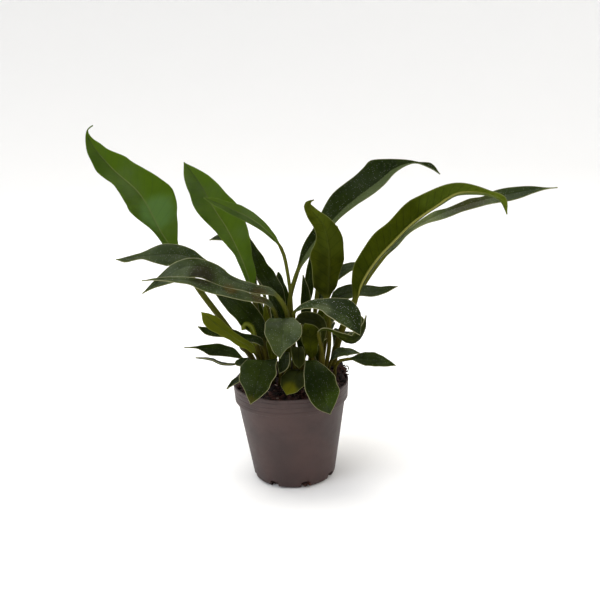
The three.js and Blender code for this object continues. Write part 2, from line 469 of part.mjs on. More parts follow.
function frondGeometry(row) {
  const curve = curveOf(row);
  const broadest = row.left
    ? Math.max(...row.left.map((w, i) => w + row.right[i]))
    : row.wide;
  const lines = broadest > broadBlade ? 5 : 3;
  const sections = stationsOf(row, curve.getLength()).map((t) =>
    sectionAt(row, curve, t, lines));
  const foot = sections[0];
  const sunk = (p) => p.clone().addScaledVector(foot.along, -rootDeep);
  sections.unshift({ upper: foot.upper.map(sunk), lower: foot.lower.map(sunk) });

  const positions = [];
  for (const { upper, lower } of sections) {
    for (const p of [...upper, ...lower]) positions.push(p.x, p.y, p.z);
  }
  const at = (k, i, below) => k * lines * 2 + (below ? lines : 0) + i;
  const faces = [];
  for (let k = 0; k < sections.length - 1; k++) {
    for (let i = 0; i < lines - 1; i++) {
      const [a, b] = [at(k, i), at(k, i + 1)];
      const [c, d] = [at(k + 1, i + 1), at(k + 1, i)];
      faces.push(a, b, c, a, c, d);
      const [e, f] = [at(k, i, true), at(k, i + 1, true)];
      const [g, h] = [at(k + 1, i + 1, true), at(k + 1, i, true)];
      faces.push(e, g, f, e, h, g);
    }
    const r = lines - 1;
    faces.push(at(k, 0, true), at(k, 0), at(k + 1, 0));
    faces.push(at(k, 0, true), at(k + 1, 0), at(k + 1, 0, true));
    faces.push(at(k, r), at(k, r, true), at(k + 1, r, true));
    faces.push(at(k, r), at(k + 1, r, true), at(k + 1, r));
  }
  const tip = sections.length - 1;
  for (let i = 0; i < lines - 1; i++) {
    faces.push(at(0, i, true), at(0, i + 1, true), at(0, i + 1));
    faces.push(at(0, i, true), at(0, i + 1), at(0, i));
    faces.push(at(tip, i, true), at(tip, i + 1), at(tip, i + 1, true));
    faces.push(at(tip, i, true), at(tip, i), at(tip, i + 1));
  }
  const geometry = new THREE.BufferGeometry();
  geometry.setAttribute("position", new THREE.Float32BufferAttribute(positions, 3));
  geometry.setIndex(faces);
  return geometry;
}

function toSolid(geometry) {
  const bare = geometry.clone();
  bare.deleteAttribute("normal");
  bare.deleteAttribute("uv");
  const merged = mergeVertices(bare, 1e-4);
  return new wasm.Manifold(new wasm.Mesh({
    numProp: 3,
    vertProperties: new Float32Array(merged.attributes.position.array),
    triVerts: new Uint32Array(merged.index.array),
  }));
}

function toGeometry(solid) {
  const mesh = solid.getMesh();
  const geometry = new THREE.BufferGeometry();
  geometry.setAttribute("position", new THREE.BufferAttribute(mesh.vertProperties, 3));
  geometry.setIndex(new THREE.BufferAttribute(mesh.triVerts, 1));
  return geometry;
}

// A lathe of [radius, height] pairs about +Z, from the axis back to the axis
function turned(profile, sides) {
  const points = profile.map(([r, z]) => new THREE.Vector2(r, z));
  return new THREE.LatheGeometry(points, sides).rotateX(Math.PI / 2);
}

// Outer and inner radius of the pot's wall below the rim band
const bandFoot = potHigh - rimBandHigh;
const ledge = bandFoot + wallThick;
const wallSlope = (wallTopRadius - baseRadius) / bandFoot;
const innerAt = (z) => baseRadius + wallSlope * z - wallThick;
const bandSlope = (rimRadius - rimBandFoot) / rimBandHigh;
const bandAt = (z) => rimBandFoot + bandSlope * (z - bandFoot);

function potGeometry() {
  const profile = [
    [0, 0],
    [baseRadius - baseCorner, 0],
    [baseRadius, baseCorner],
    [wallTopRadius, bandFoot],
    [rimBandFoot, bandFoot],
  ];
  for (const level of [...ringLevels].reverse()) {
    const z = potHigh - level;
    profile.push([bandAt(z - ringHigh / 2), z - ringHigh / 2]);
    profile.push([bandAt(z) - ringDeep, z]);
    profile.push([bandAt(z + ringHigh / 2), z + ringHigh / 2]);
  }
  profile.push(
    [bandAt(potHigh - rimCorner), potHigh - rimCorner],
    [rimRadius - rimCorner, potHigh],
    [rimRadius - wallThick, potHigh],
    [bandAt(ledge) - wallThick, ledge],
    [innerAt(ledge), ledge],
    [innerAt(floorThick), floorThick],
    [0, floorThick],
  );
  let pot = toSolid(turned(profile, potSides));
  const slotLong = slotOuter - slotInner;
  for (let i = 0; i < slotCount; i++) {
    const box = new THREE.BoxGeometry(slotLong, slotWide, slotHigh + 1);
    box.translate(slotInner + slotLong / 2, 0, (slotHigh - 1) / 2);
    box.rotateZ(radians(slotTurn) + (2 * Math.PI * i) / slotCount);
    pot = pot.subtract(toSolid(box));
  }
  return toGeometry(pot);
}

function soilHeight(x, y) {
  const reach = Math.hypot(x, y) / (rimRadius - wallThick);
  const fade = 1 - reach ** 4;
  let z = soilEdgeHigh + soilMound * (1 - reach ** 2);
  z += soilLump * fade * Math.sin(0.42 * x + 1.1) * Math.cos(0.37 * y - 0.4);
  z += soilLump * 0.6 * fade * Math.sin(0.8 * x - 0.6 * y);
  for (const { at, high, wide } of soilHeaps) {
    const far = Math.hypot(x - at[0], y - at[1]) / wide;
    z += high * (1 - reach ** 10) * Math.exp(-far * far);
  }
  return z;
}

function soilGeometry() {
  const topRadius = bandAt(soilEdgeHigh) - wallThick - soilGap;
  const wall = [
    [topRadius, soilEdgeHigh],
    [bandAt(ledge) - wallThick - soilGap, ledge + soilGap],
    [innerAt(ledge) - soilGap, ledge + soilGap],
    [innerAt(floorThick) - soilGap, floorThick + soilGap],
  ];
  const rings = [];
  for (let k = 1; k < soilRings; k++) rings.push([(topRadius * k) / soilRings]);
  rings.push(...wall);
  const positions = [0, 0, soilHeight(0, 0)];
  for (const [r, z] of rings) {
    for (let j = 0; j < soilSides; j++) {
      const angle = (2 * Math.PI * j) / soilSides;
      const x = r * Math.cos(angle);
      const y = r * Math.sin(angle);
      positions.push(x, y, z ?? soilHeight(x, y));
    }
  }
  positions.push(0, 0, floorThick + soilGap);
  const bottom = positions.length / 3 - 1;
  const at = (k, j) => 1 + k * soilSides + (j % soilSides);
  const faces = [];
  for (let j = 0; j < soilSides; j++) {
    faces.push(0, at(0, j), at(0, j + 1));
    for (let k = 0; k < rings.length - 1; k++) {
      faces.push(at(k, j), at(k + 1, j), at(k + 1, j + 1));
      faces.push(at(k, j), at(k + 1, j + 1), at(k, j + 1));
    }
    faces.push(bottom, at(rings.length - 1, j + 1), at(rings.length - 1, j));
  }
  const geometry = new THREE.BufferGeometry();
  geometry.setAttribute("position", new THREE.Float32BufferAttribute(positions, 3));
  geometry.setIndex(faces);

  const holes = fronds.map((row) => {
    const curve = curveOf(row);
    const { along } = axesAt(row, curve, 0);
    const radius = (row.stem / 2 + holeClear) / Math.cos(Math.PI / holeSides);
    const long = rootDeep + holeClear + holeAbove;
    const bore = new THREE.CylinderGeometry(radius, radius, long, holeSides);
    bore.translate(0, holeAbove - long / 2, 0);
    const turn = new THREE.Quaternion();
    turn.setFromUnitVectors(new THREE.Vector3(0, 1, 0), along);
    bore.applyQuaternion(turn);
    bore.translate(...row.route[0]);
    return toSolid(bore);
  });
  return toGeometry(toSolid(geometry).subtract(wasm.Manifold.union(holes)));
}

function piece(name, geometry, slot, color, roughness) {
  const material = new THREE.MeshStandardMaterial({ color, roughness });
  material.name = slot;
  const mesh = new THREE.Mesh(geometry, material);
  mesh.name = name;
  return mesh;
}

const fern = new THREE.Group();
fern.name = "potted_fern";
fern.add(piece("pot", potGeometry(), "pot_plastic", potGrey, 0.55));
fern.add(piece("potting_mix", soilGeometry(), "soil", soilBrown, 0.95));
for (const row of fronds) {
  const young = row.name.startsWith("young") || row.name === "crozier";
  const slot = young ? "frond_young" : "frond_green";
  fern.add(piece(row.name, frondGeometry(row), slot, young ? youngGreen : leafGreen, 0.5));
}

export default fern;
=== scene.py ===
import math
import random

import bmesh
import bpy
import numpy as np
from mathutils import Matrix, Vector


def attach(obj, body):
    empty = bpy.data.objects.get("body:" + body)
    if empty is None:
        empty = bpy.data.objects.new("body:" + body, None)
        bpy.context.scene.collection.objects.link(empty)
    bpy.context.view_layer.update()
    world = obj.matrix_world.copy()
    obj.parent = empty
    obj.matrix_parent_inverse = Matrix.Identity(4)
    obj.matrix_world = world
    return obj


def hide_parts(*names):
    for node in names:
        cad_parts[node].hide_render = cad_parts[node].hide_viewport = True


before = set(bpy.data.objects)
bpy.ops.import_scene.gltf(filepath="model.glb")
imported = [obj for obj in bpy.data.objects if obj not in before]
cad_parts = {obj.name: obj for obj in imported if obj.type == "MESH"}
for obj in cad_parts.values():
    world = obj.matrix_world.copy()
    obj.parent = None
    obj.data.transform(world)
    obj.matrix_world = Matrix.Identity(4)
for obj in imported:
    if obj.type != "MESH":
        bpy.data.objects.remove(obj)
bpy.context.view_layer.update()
mm = 0.001
print("frame loaded,", len(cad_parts), "nodes")


# "#rrggbb" to a linear colour
def colour(code):
    parts = [int(code[i:i + 2], 16) / 255 for i in (1, 3, 5)]
    return [c / 12.92 if c < 0.04045 else ((c + 0.055) / 1.055) ** 2.4 for c in parts] + [1]


# A node with its inputs set; a socket given as a value is linked
def put(tree, kind, inputs=None, **settings):
    node = tree.nodes.new(kind)
    for key, value in settings.items():
        setattr(node, key, value)
    for key, value in (inputs or {}).items():
        if isinstance(value, bpy.types.NodeSocket):
            tree.links.new(value, node.inputs[key])
        else:
            node.inputs[key].default_value = value
    return node


def calc(tree, operation, *values):
    return put(tree, "ShaderNodeMath", dict(enumerate(values)), operation=operation).outputs[0]


# 0 below low, 1 above high, smooth between; low above high turns it round
def step(tree, value, low, high):
    inputs = {"Value": value, "From Min": low, "From Max": high}
    node = put(tree, "ShaderNodeMapRange", inputs, interpolation_type="SMOOTHSTEP")
    return node.outputs["Result"]


def mixed(tree, factor, a, b, how="MIX"):
    node = put(tree, "ShaderNodeMix", data_type="RGBA", blend_type=how)
    for socket, value in ((node.inputs[0], factor), (node.inputs[6], a), (node.inputs[7], b)):
        if isinstance(value, bpy.types.NodeSocket):
            tree.links.new(value, socket)
        else:
            socket.default_value = value
    return node.outputs[2]


def newMaterial(name):
    material = bpy.data.materials.new(name)
    material.use_nodes = True
    material.node_tree.nodes.clear()
    return material, material.node_tree


def finishMaterial(tree, shader):
    put(tree, "ShaderNodeOutputMaterial", {"Surface": shader})


# A mesh object from points in mm
def newPiece(name, points, faces, materials, smooth=True):
    mesh = bpy.data.meshes.new(name)
    mesh.from_pydata([tuple(c * mm for c in p) for p in points], [], faces)
    for material in materials:
        mesh.materials.append(material)
    mesh.polygons.foreach_set("use_smooth", [smooth] * len(mesh.polygons))
    mesh.update()
    piece = bpy.data.objects.new(name, mesh)
    bpy.context.scene.collection.objects.link(piece)
    return piece


# The camera of the photograph, in metres
view = {
    "eye": (0, -0.5616, 0.2761),
    "lens": 55.0, "sensor": 36.0,
    "pitch": -15.7, "yaw": 0.83, "roll": 2.4,   # degrees
}

studio = {
    "flat": 1.3, "reach": 2.3, "wall": 1.5,      # metres, a round sweep of pale paper
    "paper": "#f4f3f1",
    "air": "#f4f6fa", "airStrength": 0.8,
    # place, size, power in watts, colour; every lamp looks at the plant
    "lamps": [
        ((-0.2, 0.3, 1.3), 1.1, 16, "#fffdf8"),
        ((-1.0, -0.7, 0.9), 0.9, 7, "#eef4ff"),
        ((1.1, -0.5, 0.8), 0.9, 4, "#fff6ea"),
    ],
}


def makeCamera():
    pitch, yaw, roll = (math.radians(view[k]) for k in ("pitch", "yaw", "roll"))
    forward = Vector((math.sin(yaw) * math.cos(pitch), math.cos(yaw) * math.cos(pitch),
                      math.sin(pitch)))
    right = Vector((math.cos(yaw), -math.sin(yaw), 0))
    up = right.cross(forward)
    data = bpy.data.cameras.new("camera")
    data.lens = view["lens"]
    data.sensor_width = view["sensor"]
    data.clip_start = 0.01
    camera = bpy.data.objects.new("camera", data)
    axes = (right * math.cos(roll) - up * math.sin(roll),
            right * math.sin(roll) + up * math.cos(roll), -forward)
    camera.matrix_world = Matrix.Translation(view["eye"]) @ Matrix(axes).transposed().to_4x4()
    bpy.context.scene.collection.objects.link(camera)
    bpy.context.scene.camera = camera


def makeStudio():
    material, tree = newMaterial("pale_paper")
    shader = put(tree, "ShaderNodeBsdfPrincipled", {
        "Base Color": colour(studio["paper"]), "Roughness": 0.9, "Specular IOR Level": 0.2})
    finishMaterial(tree, shader.outputs[0])
    turn = studio["reach"] - studio["flat"]
    profile = [(studio["flat"] * k / 4, 0) for k in range(1, 5)]
    for k in range(1, 13):
        a = math.pi / 2 * k / 12
        profile.append((studio["flat"] + turn * math.sin(a), turn * (1 - math.cos(a))))
    profile.append((studio["reach"], studio["wall"]))
    sides = 96
    points = [(0, 0, -0.4)]
    for r, z in profile:
        for j in range(sides):
            a = 2 * math.pi * j / sides
            points.append((r * math.cos(a) / mm, r * math.sin(a) / mm, z / mm - 0.4))
    faces = [(0, 1 + j, 1 + (j + 1) % sides) for j in range(sides)]
    for k in range(len(profile) - 1):
        for j in range(sides):
            a, b = 1 + k * sides + j, 1 + k * sides + (j + 1) % sides
            faces.append((a, a + sides, b + sides, b))
    newPiece("paper_sweep", points, faces, [material])

    world = bpy.data.worlds.new("air")
    world.use_nodes = True
    air = world.node_tree.nodes["Background"]
    air.inputs["Color"].default_value = colour(studio["air"])
    air.inputs["Strength"].default_value = studio["airStrength"]
    bpy.context.scene.world = world
    for k, (place, size, power, tint) in enumerate(studio["lamps"]):
        data = bpy.data.lights.new("lamp_%d" % (k + 1), "AREA")
        data.size = size
        data.energy = power
        data.color = colour(tint)[:3]
        lamp = bpy.data.objects.new(data.name, data)
        lamp.location = place
        aim = Vector((0, 0, 0.12)) - Vector(place)
        lamp.rotation_euler = aim.to_track_quat("-Z", "Y").to_euler()
        bpy.context.scene.collection.objects.link(lamp)
    bpy.context.scene.view_settings.view_transform = "Standard"


makeCamera()
makeStudio()
print("camera, floor and lamps made")


# Each frond: its stem's thickness, the route of its midrib in mm from where it leaves the mix,
# the heading that its upper face turns from, the turn of the blade on its midrib, the stalk's
# share of the route, the fold of the two halves, and the half widths from base to tip
fronds = [
    # Tall and drooping fronds at the left
    {"name": "frond_left_tall_1", "stem": 4,
     "route": [[-18.5, 7, 65], [-28.5, 8, 84.5], [-35, 9, 92.5], [-44, 11, 105.8],
       [-56, 14, 123.4], [-65, 16, 139.5], [-78, 18, 161], [-90.5, 18, 188],
       [-105.5, 16, 204.5], [-116.5, 14, 220.5], [-118.3, 12.5, 227.5], [-117.3, 11.5, 230],
       [-113.9, 10, 232.2]],
     "lean": 180, "roll": [60, 66, 62], "stalk": 0.43, "fold": 16, "wave": [2.5, 1.5, 0.8],
     "left": [4, 4, 4, 4, 4, 5, 8, 11.5, 13, 12, 11.5, 10, 8, 8.5, 9, 7.5, 6, 3, 0.5],
     "right": [4.5, 4.5, 5, 8.5, 12, 14.5, 17, 18, 18.5, 16, 14, 13, 12, 11, 8.5, 6, 4.5, 2, 0.5]},
    {"name": "frond_left_tall_2", "stem": 3.4,
     "route": [[-13, 2.5, 65], [-17, 2, 89], [-19, 2, 106], [-22, 3, 125], [-27, 4, 144],
       [-35.5, 6, 164.5], [-44, 6, 180], [-51, 4, 195], [-59, 0, 208.5]],
     "lean": 180, "roll": [70, 70, 65], "stalk": 0.37, "fold": 15,
     "left": [2.5, 2.5, 3, 3.5, 3.5, 5, 6.5, 8, 9.5, 10.5, 11, 11, 10, 9, 6],
     "right": [3, 5, 6, 6.5, 8.5, 10.5, 12, 12.5, 13, 13, 12, 10.5, 8, 5.5, 3]},
    {"name": "frond_left_arch", "stem": 2.2,
     "route": [[2.5, 1.5, 65], [2, -3, 93], [2.5, -5, 114.5], [1, -8, 138.5], [-2, -10, 154],
       [-9, -12, 164.5], [-19, -14, 174], [-33, -16, 182], [-47, -17, 189]],
     "lean": 180, "roll": [40, 40, 40], "stalk": 0.61, "fold": 12,
     "left": [2, 3, 4, 5, 5, 4, 3], "right": [2, 3, 4, 5, 5, 4, 3]},
    {"name": "frond_left_droop_1", "stem": 2.6,
     "route": [[-16.5, -1, 65], [-18, -2.5, 89.5], [-23, -4, 108.5], [-31.5, -5, 130],
       [-41, -4, 141.5], [-54, -1, 147.5], [-68, 2, 151], [-87, 4, 150.5], [-107, 6, 148.5]],
     "lean": 180, "roll": [45, 50, 45], "stalk": 0.48, "fold": 10, "wave": [3, 1, 1],
     "left": [3.5, 3.5, 3.5, 3, 4, 6, 9.5, 7.5, 5.5, 3, 3, 3],
     "right": [2, 1.5, 1.5, 2.5, 5, 6.5, 7, 7, 5, 3, 2, 1]},
    {"name": "frond_left_droop_2", "stem": 3,
     "route": [[-2, 2, 65], [-0.5, -6, 95], [-1, -12, 115], [-8, -14.8, 127.3],
       [-19.5, -17.5, 132.2], [-34.5, -20, 139], [-48, -21, 147], [-60, -22, 148.5],
       [-71.5, -21, 143], [-88, -20, 132.5]],
     "lean": 180, "roll": [20, 25, 50, 50, 40], "stalk": 0.38, "fold": 10,
     "left": [2.5, 3.5, 4.5, 5, 6.5, 8, 8.5, 8.5, 8, 7, 5, 2],
     "right": [2.5, 2.5, 2.3, 2.2, 2.8, 4.2, 4.6, 5, 5, 5, 3.5, 2]},
    {"name": "frond_left_droop_3", "stem": 2.6,
     "route": [[-6, -4, 65], [-6, -6, 90], [-6.5, -9, 107], [-12, -18, 122.5],
       [-26.5, -26, 130], [-41.5, -30, 136], [-57.5, -32, 142], [-72, -33, 144],
       [-85.5, -34, 144]],
     "lean": 180, "roll": [40, 40, 40], "stalk": 0.36, "fold": 10,
     "left": [2, 2.5, 3.5, 4, 4.5, 4.5, 5, 5, 3, 2.5, 1.5, 0.5],
     "right": [2, 2, 2, 3, 2.5, 2.5, 3, 3, 2.5, 2, 1.5, 1]},
    {"name": "frond_left_inner", "stem": 2.6,
     "route": [[-13.5, -5, 65], [-15.5, -5, 87], [-18.5, -6.1, 101], [-25.5, -9, 113],
       [-34.5, -12.2, 123.5], [-45, -16, 131]],
     "lean": 180, "roll": [60, 60], "stalk": 0.35, "fold": 10,
     "left": [4, 6.5, 8, 8.5, 8, 7, 4.5], "right": [4, 6, 7, 7, 5.5, 4.5, 3]},
    # Low and young fronds at the left
    {"name": "frond_left_low_1", "stem": 2.2,
     "route": [[-15.3, -8.9, 65], [-15.2, -12.8, 87], [-17, -15, 95], [-20, -17.5, 98.5],
       [-25, -18.2, 100.3], [-31, -18.7, 101.7], [-40, -19, 104.5], [-49, -19, 106.5],
       [-56, -19, 109.5]],
     "lean": 180, "roll": [40, 50], "stalk": 0.36, "fold": 10,
     "left": [2, 2.5, 3, 3, 3, 3, 3.5, 3.5, 3], "right": [2, 2.5, 2.5, 2.5, 3.5, 3.5, 3, 2, 1.5]},
    {"name": "frond_left_low_2", "stem": 2.2,
     "route": [[-21, 2, 65], [-26, -1, 77], [-33, -3, 83], [-42.5, -5, 88], [-55, -7, 91.5],
       [-66.5, -9, 93]],
     "lean": 180, "roll": [40, 40], "stalk": 0.33, "fold": 10,
     "left": [1.5, 2.5, 3.5, 4.5, 5.2, 5.2, 3.2, 0.8, 0.5],
     "right": [3, 4, 4.5, 4.5, 4, 3, 2, 1, 0.5]},
    {"name": "frond_left_low_3", "stem": 1.8,
     "route": [[-23, -2, 65], [-26, -4, 76], [-32, -6, 79.5], [-38.5, -8, 80], [-44, -9, 81],
       [-49, -10, 84], [-53, -11, 85.5], [-59.5, -12, 87]],
     "lean": 180, "roll": [-10, -10], "stalk": 0.4, "fold": 10,
     "wide": 7, "peak": 0.45, "base": 1.3, "tip": 0.9},
    {"name": "frond_left_low_4", "stem": 2,
     "route": [[-23, -7, 65], [-24.5, -9, 77], [-28, -11, 81], [-35, -13, 82]],
     "lean": 190, "roll": [30, 30], "stalk": 0.4, "fold": 10,
     "wide": 9, "peak": 0.45, "base": 1.3, "tip": 0.5},
    {"name": "frond_left_low_5", "stem": 2,
     "route": [[-21.5, -14.5, 65], [-23, -16, 73], [-29, -20, 75], [-34, -24, 74],
       [-40, -28, 71]],
     "lean": 200, "roll": [0, 0], "stalk": 0.4, "fold": 10,
     "wide": 8, "peak": 0.45, "base": 1.3, "tip": 0.9},
    {"name": "young_frond_1", "stem": 2.4,
     "route": [[-20, -10.5, 65], [-19, -16.5, 83.5], [-21.5, -20, 91], [-25, -22, 96],
       [-31, -25, 101], [-39, -27.5, 108.5], [-46, -29.5, 116], [-52, -30.5, 122]],
     "lean": 180, "roll": [50, 60], "stalk": 0.35, "fold": 10,
     "left": [2, 2.5, 3, 3, 3, 4, 4.5, 5.5, 5], "right": [2, 2.5, 3, 3, 3, 3.5, 4, 3.5, 2.5]},
    {"name": "young_frond_2", "stem": 2,
     "route": [[-11.5, -2, 65], [-12.5, -0.5, 89], [-13.5, -1.5, 104.5], [-14.5, -2, 117.5]],
     "lean": 90, "roll": [0], "stalk": 0.4, "fold": 10,
     "wide": 5, "peak": 0.45, "base": 1.3, "tip": 0.9},
    {"name": "crozier", "stem": 3.4,
     "route": [[-18.5, -5, 65], [-18.5, -9.2, 83.5], [-20.5, -12, 93], [-21.5, -13.4, 101],
       [-23, -14.4, 106.5], [-26, -15.1, 108.7], [-28.2, -15.2, 107], [-27.8, -15.2, 104.8]],
     "lean": 180, "roll": [0], "stalk": 0.55, "fold": 10, "thick": 3,
     "wide": 4.4, "peak": 0.45, "base": 1.3, "tip": 0.9},
    # Fronds in the middle of the clump
    {"name": "frond_middle_1", "stem": 2.2,
     "route": [[-4, 8, 65], [-3, 11, 92], [-4, 14, 111], [-9, 15, 123], [-16, 15, 136],
       [-20, 13, 148], [-23, 10, 159]],
     "lean": 180, "roll": [60, 60], "stalk": 0.35, "fold": 10,
     "wide": 12.5, "peak": 0.45, "base": 1.3, "tip": 0.9},
    {"name": "frond_middle_2", "stem": 2,
     "route": [[0, 14, 65], [0, 18, 93], [-1, 20, 111], [-4, 21, 123], [-5, 21, 132]],
     "lean": 100, "roll": [0, 0], "stalk": 0.45, "fold": 10,
     "wide": 7.5, "peak": 0.45, "base": 1.3, "tip": 0.5},
    {"name": "frond_middle_3", "stem": 2.2,
     "route": [[-9, 16, 65], [-11, 20, 93], [-14, 24, 112], [-21, 28, 132], [-30, 30, 146],
       [-40, 30, 154], [-49, 28, 154]],
     "lean": 180, "roll": [20, 20], "stalk": 0.5, "fold": 10,
     "left": [2, 4, 5, 5, 4.5, 4.5, 4, 3.5], "right": [2, 4, 5, 5, 4.5, 4.5, 4, 3.5]},
    {"name": "frond_middle_4", "stem": 2.4,
     "route": [[-7.5, 0.5, 65], [-5, -1, 93], [-5, -3, 108], [-8, -4, 120], [-12, -6, 129]],
     "lean": 110, "roll": [0, 0], "stalk": 0.4, "fold": 10,
     "wide": 12, "peak": 0.45, "base": 1.3, "tip": 0.9},
    {"name": "frond_middle_5", "stem": 2,
     "route": [[6, 15, 65], [8, 20, 89], [11, 25, 106], [15, 27, 121], [16, 28, 131.5],
       [17, 28, 142.5]],
     "lean": 90, "roll": [0, 0], "stalk": 0.4, "fold": 10,
     "wide": 7, "peak": 0.45, "base": 1.3, "tip": 0.9},
    {"name": "frond_middle_6", "stem": 2,
     "route": [[9, 10, 65], [10, 12, 90], [12, 14, 108], [12, 15, 120], [11, 14, 131]],
     "lean": 90, "roll": [0, 0], "stalk": 0.4, "fold": 10,
     "wide": 7, "peak": 0.45, "base": 1.3, "tip": 0.9},
    {"name": "frond_middle_7", "stem": 2,
     "route": [[16, -5, 65], [18, -6, 82], [20, -7, 89], [24, -7, 94]],
     "lean": 0, "roll": [40], "stalk": 0.4, "fold": 10,
     "wide": 7, "peak": 0.45, "base": 1.3, "tip": 0.9},
    {"name": "frond_middle_8", "stem": 2,
     "route": [[-11, -9.5, 65], [-11, -12, 81.5], [-11, -14, 90.5], [-11, -16.5, 97.5],
       [-12, -18, 105]],
     "lean": 270, "roll": [0, 0], "stalk": 0.3, "fold": 10,
     "left": [2, 3, 4, 4.5, 4, 3, 1.5], "right": [1.5, 2, 2.5, 3, 3.5, 2.5, 1.5]},
    {"name": "frond_middle_9", "stem": 2,
     "route": [[0, -11.7, 65], [-1.5, -13.5, 79.5], [-1.5, -14.5, 86.5], [-1, -15.3, 92],
       [0.5, -15.5, 97.5]],
     "lean": 270, "roll": [0, 0], "stalk": 0.3, "fold": 10,
     "left": [1.5, 2, 2.5, 2.5, 2.5, 2, 1], "right": [1.5, 2.5, 3.5, 3.5, 3, 2, 1]},
    {"name": "frond_middle_10", "stem": 2,
     "route": [[8, -4.5, 65], [7.5, -6, 78.5], [8.5, -7, 87], [9, -8, 95.5], [11, -9, 103.5]],
     "lean": 270, "roll": [0, 0], "stalk": 0.3, "fold": 10,
     "left": [2, 3, 4.5, 5, 4.5, 3, 1.5], "right": [1, 1.5, 2.5, 3.5, 4, 3, 1.5]},
    {"name": "frond_middle_11", "stem": 2,
     "route": [[12, -0.5, 65], [15.5, -0.5, 83], [18.5, -0.5, 92], [21.5, -0.5, 98.5],
       [23.5, -0.5, 103]],
     "lean": 270, "roll": [0, 0], "stalk": 0.4, "fold": 10,
     "left": [2, 3, 4, 4.5, 4, 3, 1.5], "right": [2, 3, 4, 4.5, 4, 3, 1.5]},
    {"name": "frond_middle_12", "stem": 2,
     "route": [[16, 3, 65], [18.5, 3, 90], [21.5, 2, 102.5], [24.5, 0, 113.5],
       [25.5, -2, 121.5]],
     "lean": 290, "roll": [0, 0], "stalk": 0.45, "fold": 10,
     "left": [2, 3, 4, 4.5, 4, 3, 1.5], "right": [2, 3, 4, 4.5, 4, 3, 1.5]},
    {"name": "frond_middle_13", "stem": 2,
     "route": [[-10.5, 7.5, 65], [-15.5, 9.5, 86], [-17, 10, 99.5], [-18.5, 9, 111],
       [-19.5, 8, 120.5]],
     "lean": 250, "roll": [0, 0], "stalk": 0.4, "fold": 10,
     "left": [2, 2.5, 3, 3.5, 3, 2.5, 1.5], "right": [2, 2.5, 3, 3.5, 3, 2.5, 1.5]},
    # Fronds at the right
    {"name": "frond_right_tall", "stem": 3,
     "route": [[4, 9, 65], [1.5, 12, 92], [1.5, 15, 113], [5.5, 18, 127], [12.6, 20, 142.5],
       [23.8, 23, 156], [37.5, 26, 169.5], [49.5, 28, 178.5], [62.5, 28, 187.5],
       [72.5, 26, 195.5], [84, 24, 199], [93.5, 22, 196.5], [101, 20, 191.5]],
     "lean": 0, "roll": [-65, -65, -55], "stalk": 0.34, "fold": 12, "foldRight": 49,
     "left": [2, 3.5, 5, 6, 8, 10, 11.5, 12, 12.5, 13.5, 13.5, 7, 3, 1, 3],
     "right": [6, 8, 9, 8, 7, 7, 8, 9, 11, 12, 11, 8, 4, 1, 3]},
    {"name": "frond_right_upright", "stem": 2.8,
     "route": [[20.5, -1.5, 65], [25, -3, 83], [26, -4, 100], [25.5, -5, 119], [27, -5, 135],
       [27.5, -3, 151], [24.5, 1, 166], [18.7, 5, 173.5], [15.8, 8.5, 177.7],
       [17.2, 10.5, 179.4], [19.7, 11.5, 180]],
     "lean": 270, "roll": [0, 0, 0], "stalk": 0.42, "fold": 10,
     "left": [3, 5.5, 6, 7.5, 9.5, 9.5, 9.5, 8.5, 6.5, 4.5, 3, 2],
     "right": [8, 9.5, 10.5, 11.2, 12, 11.5, 8.5, 6.5, 6, 5.5, 4.5, 2.5]},
    {"name": "frond_right_arch_1", "stem": 4.4,
     "route": [[26, 5, 65], [30, 3, 82], [35, -1, 99.5], [42, -6, 116.5], [47.5, -9, 131],
       [56.5, -12, 145.5], [67, -14, 157], [78, -16, 168], [92, -18, 178], [104.5, -20, 185.5],
       [120.5, -22, 185.5], [130, -24, 181.5], [133, -26, 172.5]],
     "lean": 0, "roll": [45, 43, 40], "stalk": 0.28, "fold": 20,
     "left": [6, 8, 9, 9, 8.5, 8, 8, 8, 7.5, 8, 10, 10, 8, 5.5, 3],
     "right": [5.5, 8, 11.5, 13, 14.5, 15, 14.5, 14, 14.5, 13.5, 11, 7.5, 4, 2, 2.5]},
    {"name": "frond_right_arch_2", "stem": 3.2,
     "route": [[29, 10, 65], [32, 14, 86], [40, 18, 103], [51, 22, 121], [64, 26, 137],
       [82, 30, 153], [103, 33, 163], [124.5, 35, 169], [147, 36, 173.5], [165, 36, 176],
       [181.5, 36, 177]],
     "lean": 0, "roll": [-38, -38, -35], "stalk": 0.38, "fold": 12,
     "left": [2.5, 1.5, 1.5, 2, 3, 4, 2.5, 3, 4, 3, 5, 5.5, 4.5, 3, 1],
     "right": [3.5, 3.5, 2, 2, 3, 5, 6, 5.5, 5.5, 6, 7, 7, 6, 3.5, 1]},
    {"name": "frond_right_low_1", "stem": 2.4,
     "route": [[20.5, 8.7, 65], [23.5, 7.5, 86], [27, 6, 106.5], [33, 5.5, 117],
       [43, 4, 120.5], [57, 0, 121], [70, -4, 125.3]],
     "lean": 0, "roll": [-25, -25], "stalk": 0.45, "fold": 10,
     "left": [3, 6.5, 7.5, 6.5, 6, 5.5, 4, 2.5], "right": [3, 6, 6.8, 5.6, 5, 5, 4, 2.5]},
    {"name": "frond_right_low_2", "stem": 2.4,
     "route": [[8, 20, 65], [12, 24, 87], [20, 28, 105], [26, 30, 118.5], [34, 30, 126],
       [44, 29, 131], [54, 27, 133]],
     "lean": 0, "roll": [-25, -25], "stalk": 0.4, "fold": 10,
     "wide": 15, "peak": 0.45, "base": 1.3, "tip": 0.9},
    {"name": "frond_right_low_3", "stem": 2,
     "route": [[23.5, 1, 65], [27, -1, 77.5], [31, -3.5, 83], [39, -5.5, 84], [45, -7, 83]],
     "lean": 0, "roll": [-20], "stalk": 0.35, "fold": 10,
     "left": [2, 3, 3.5, 3, 2.5, 1.5], "right": [3, 4.5, 6, 6, 5, 3]},
    {"name": "frond_right_low_4", "stem": 2.2,
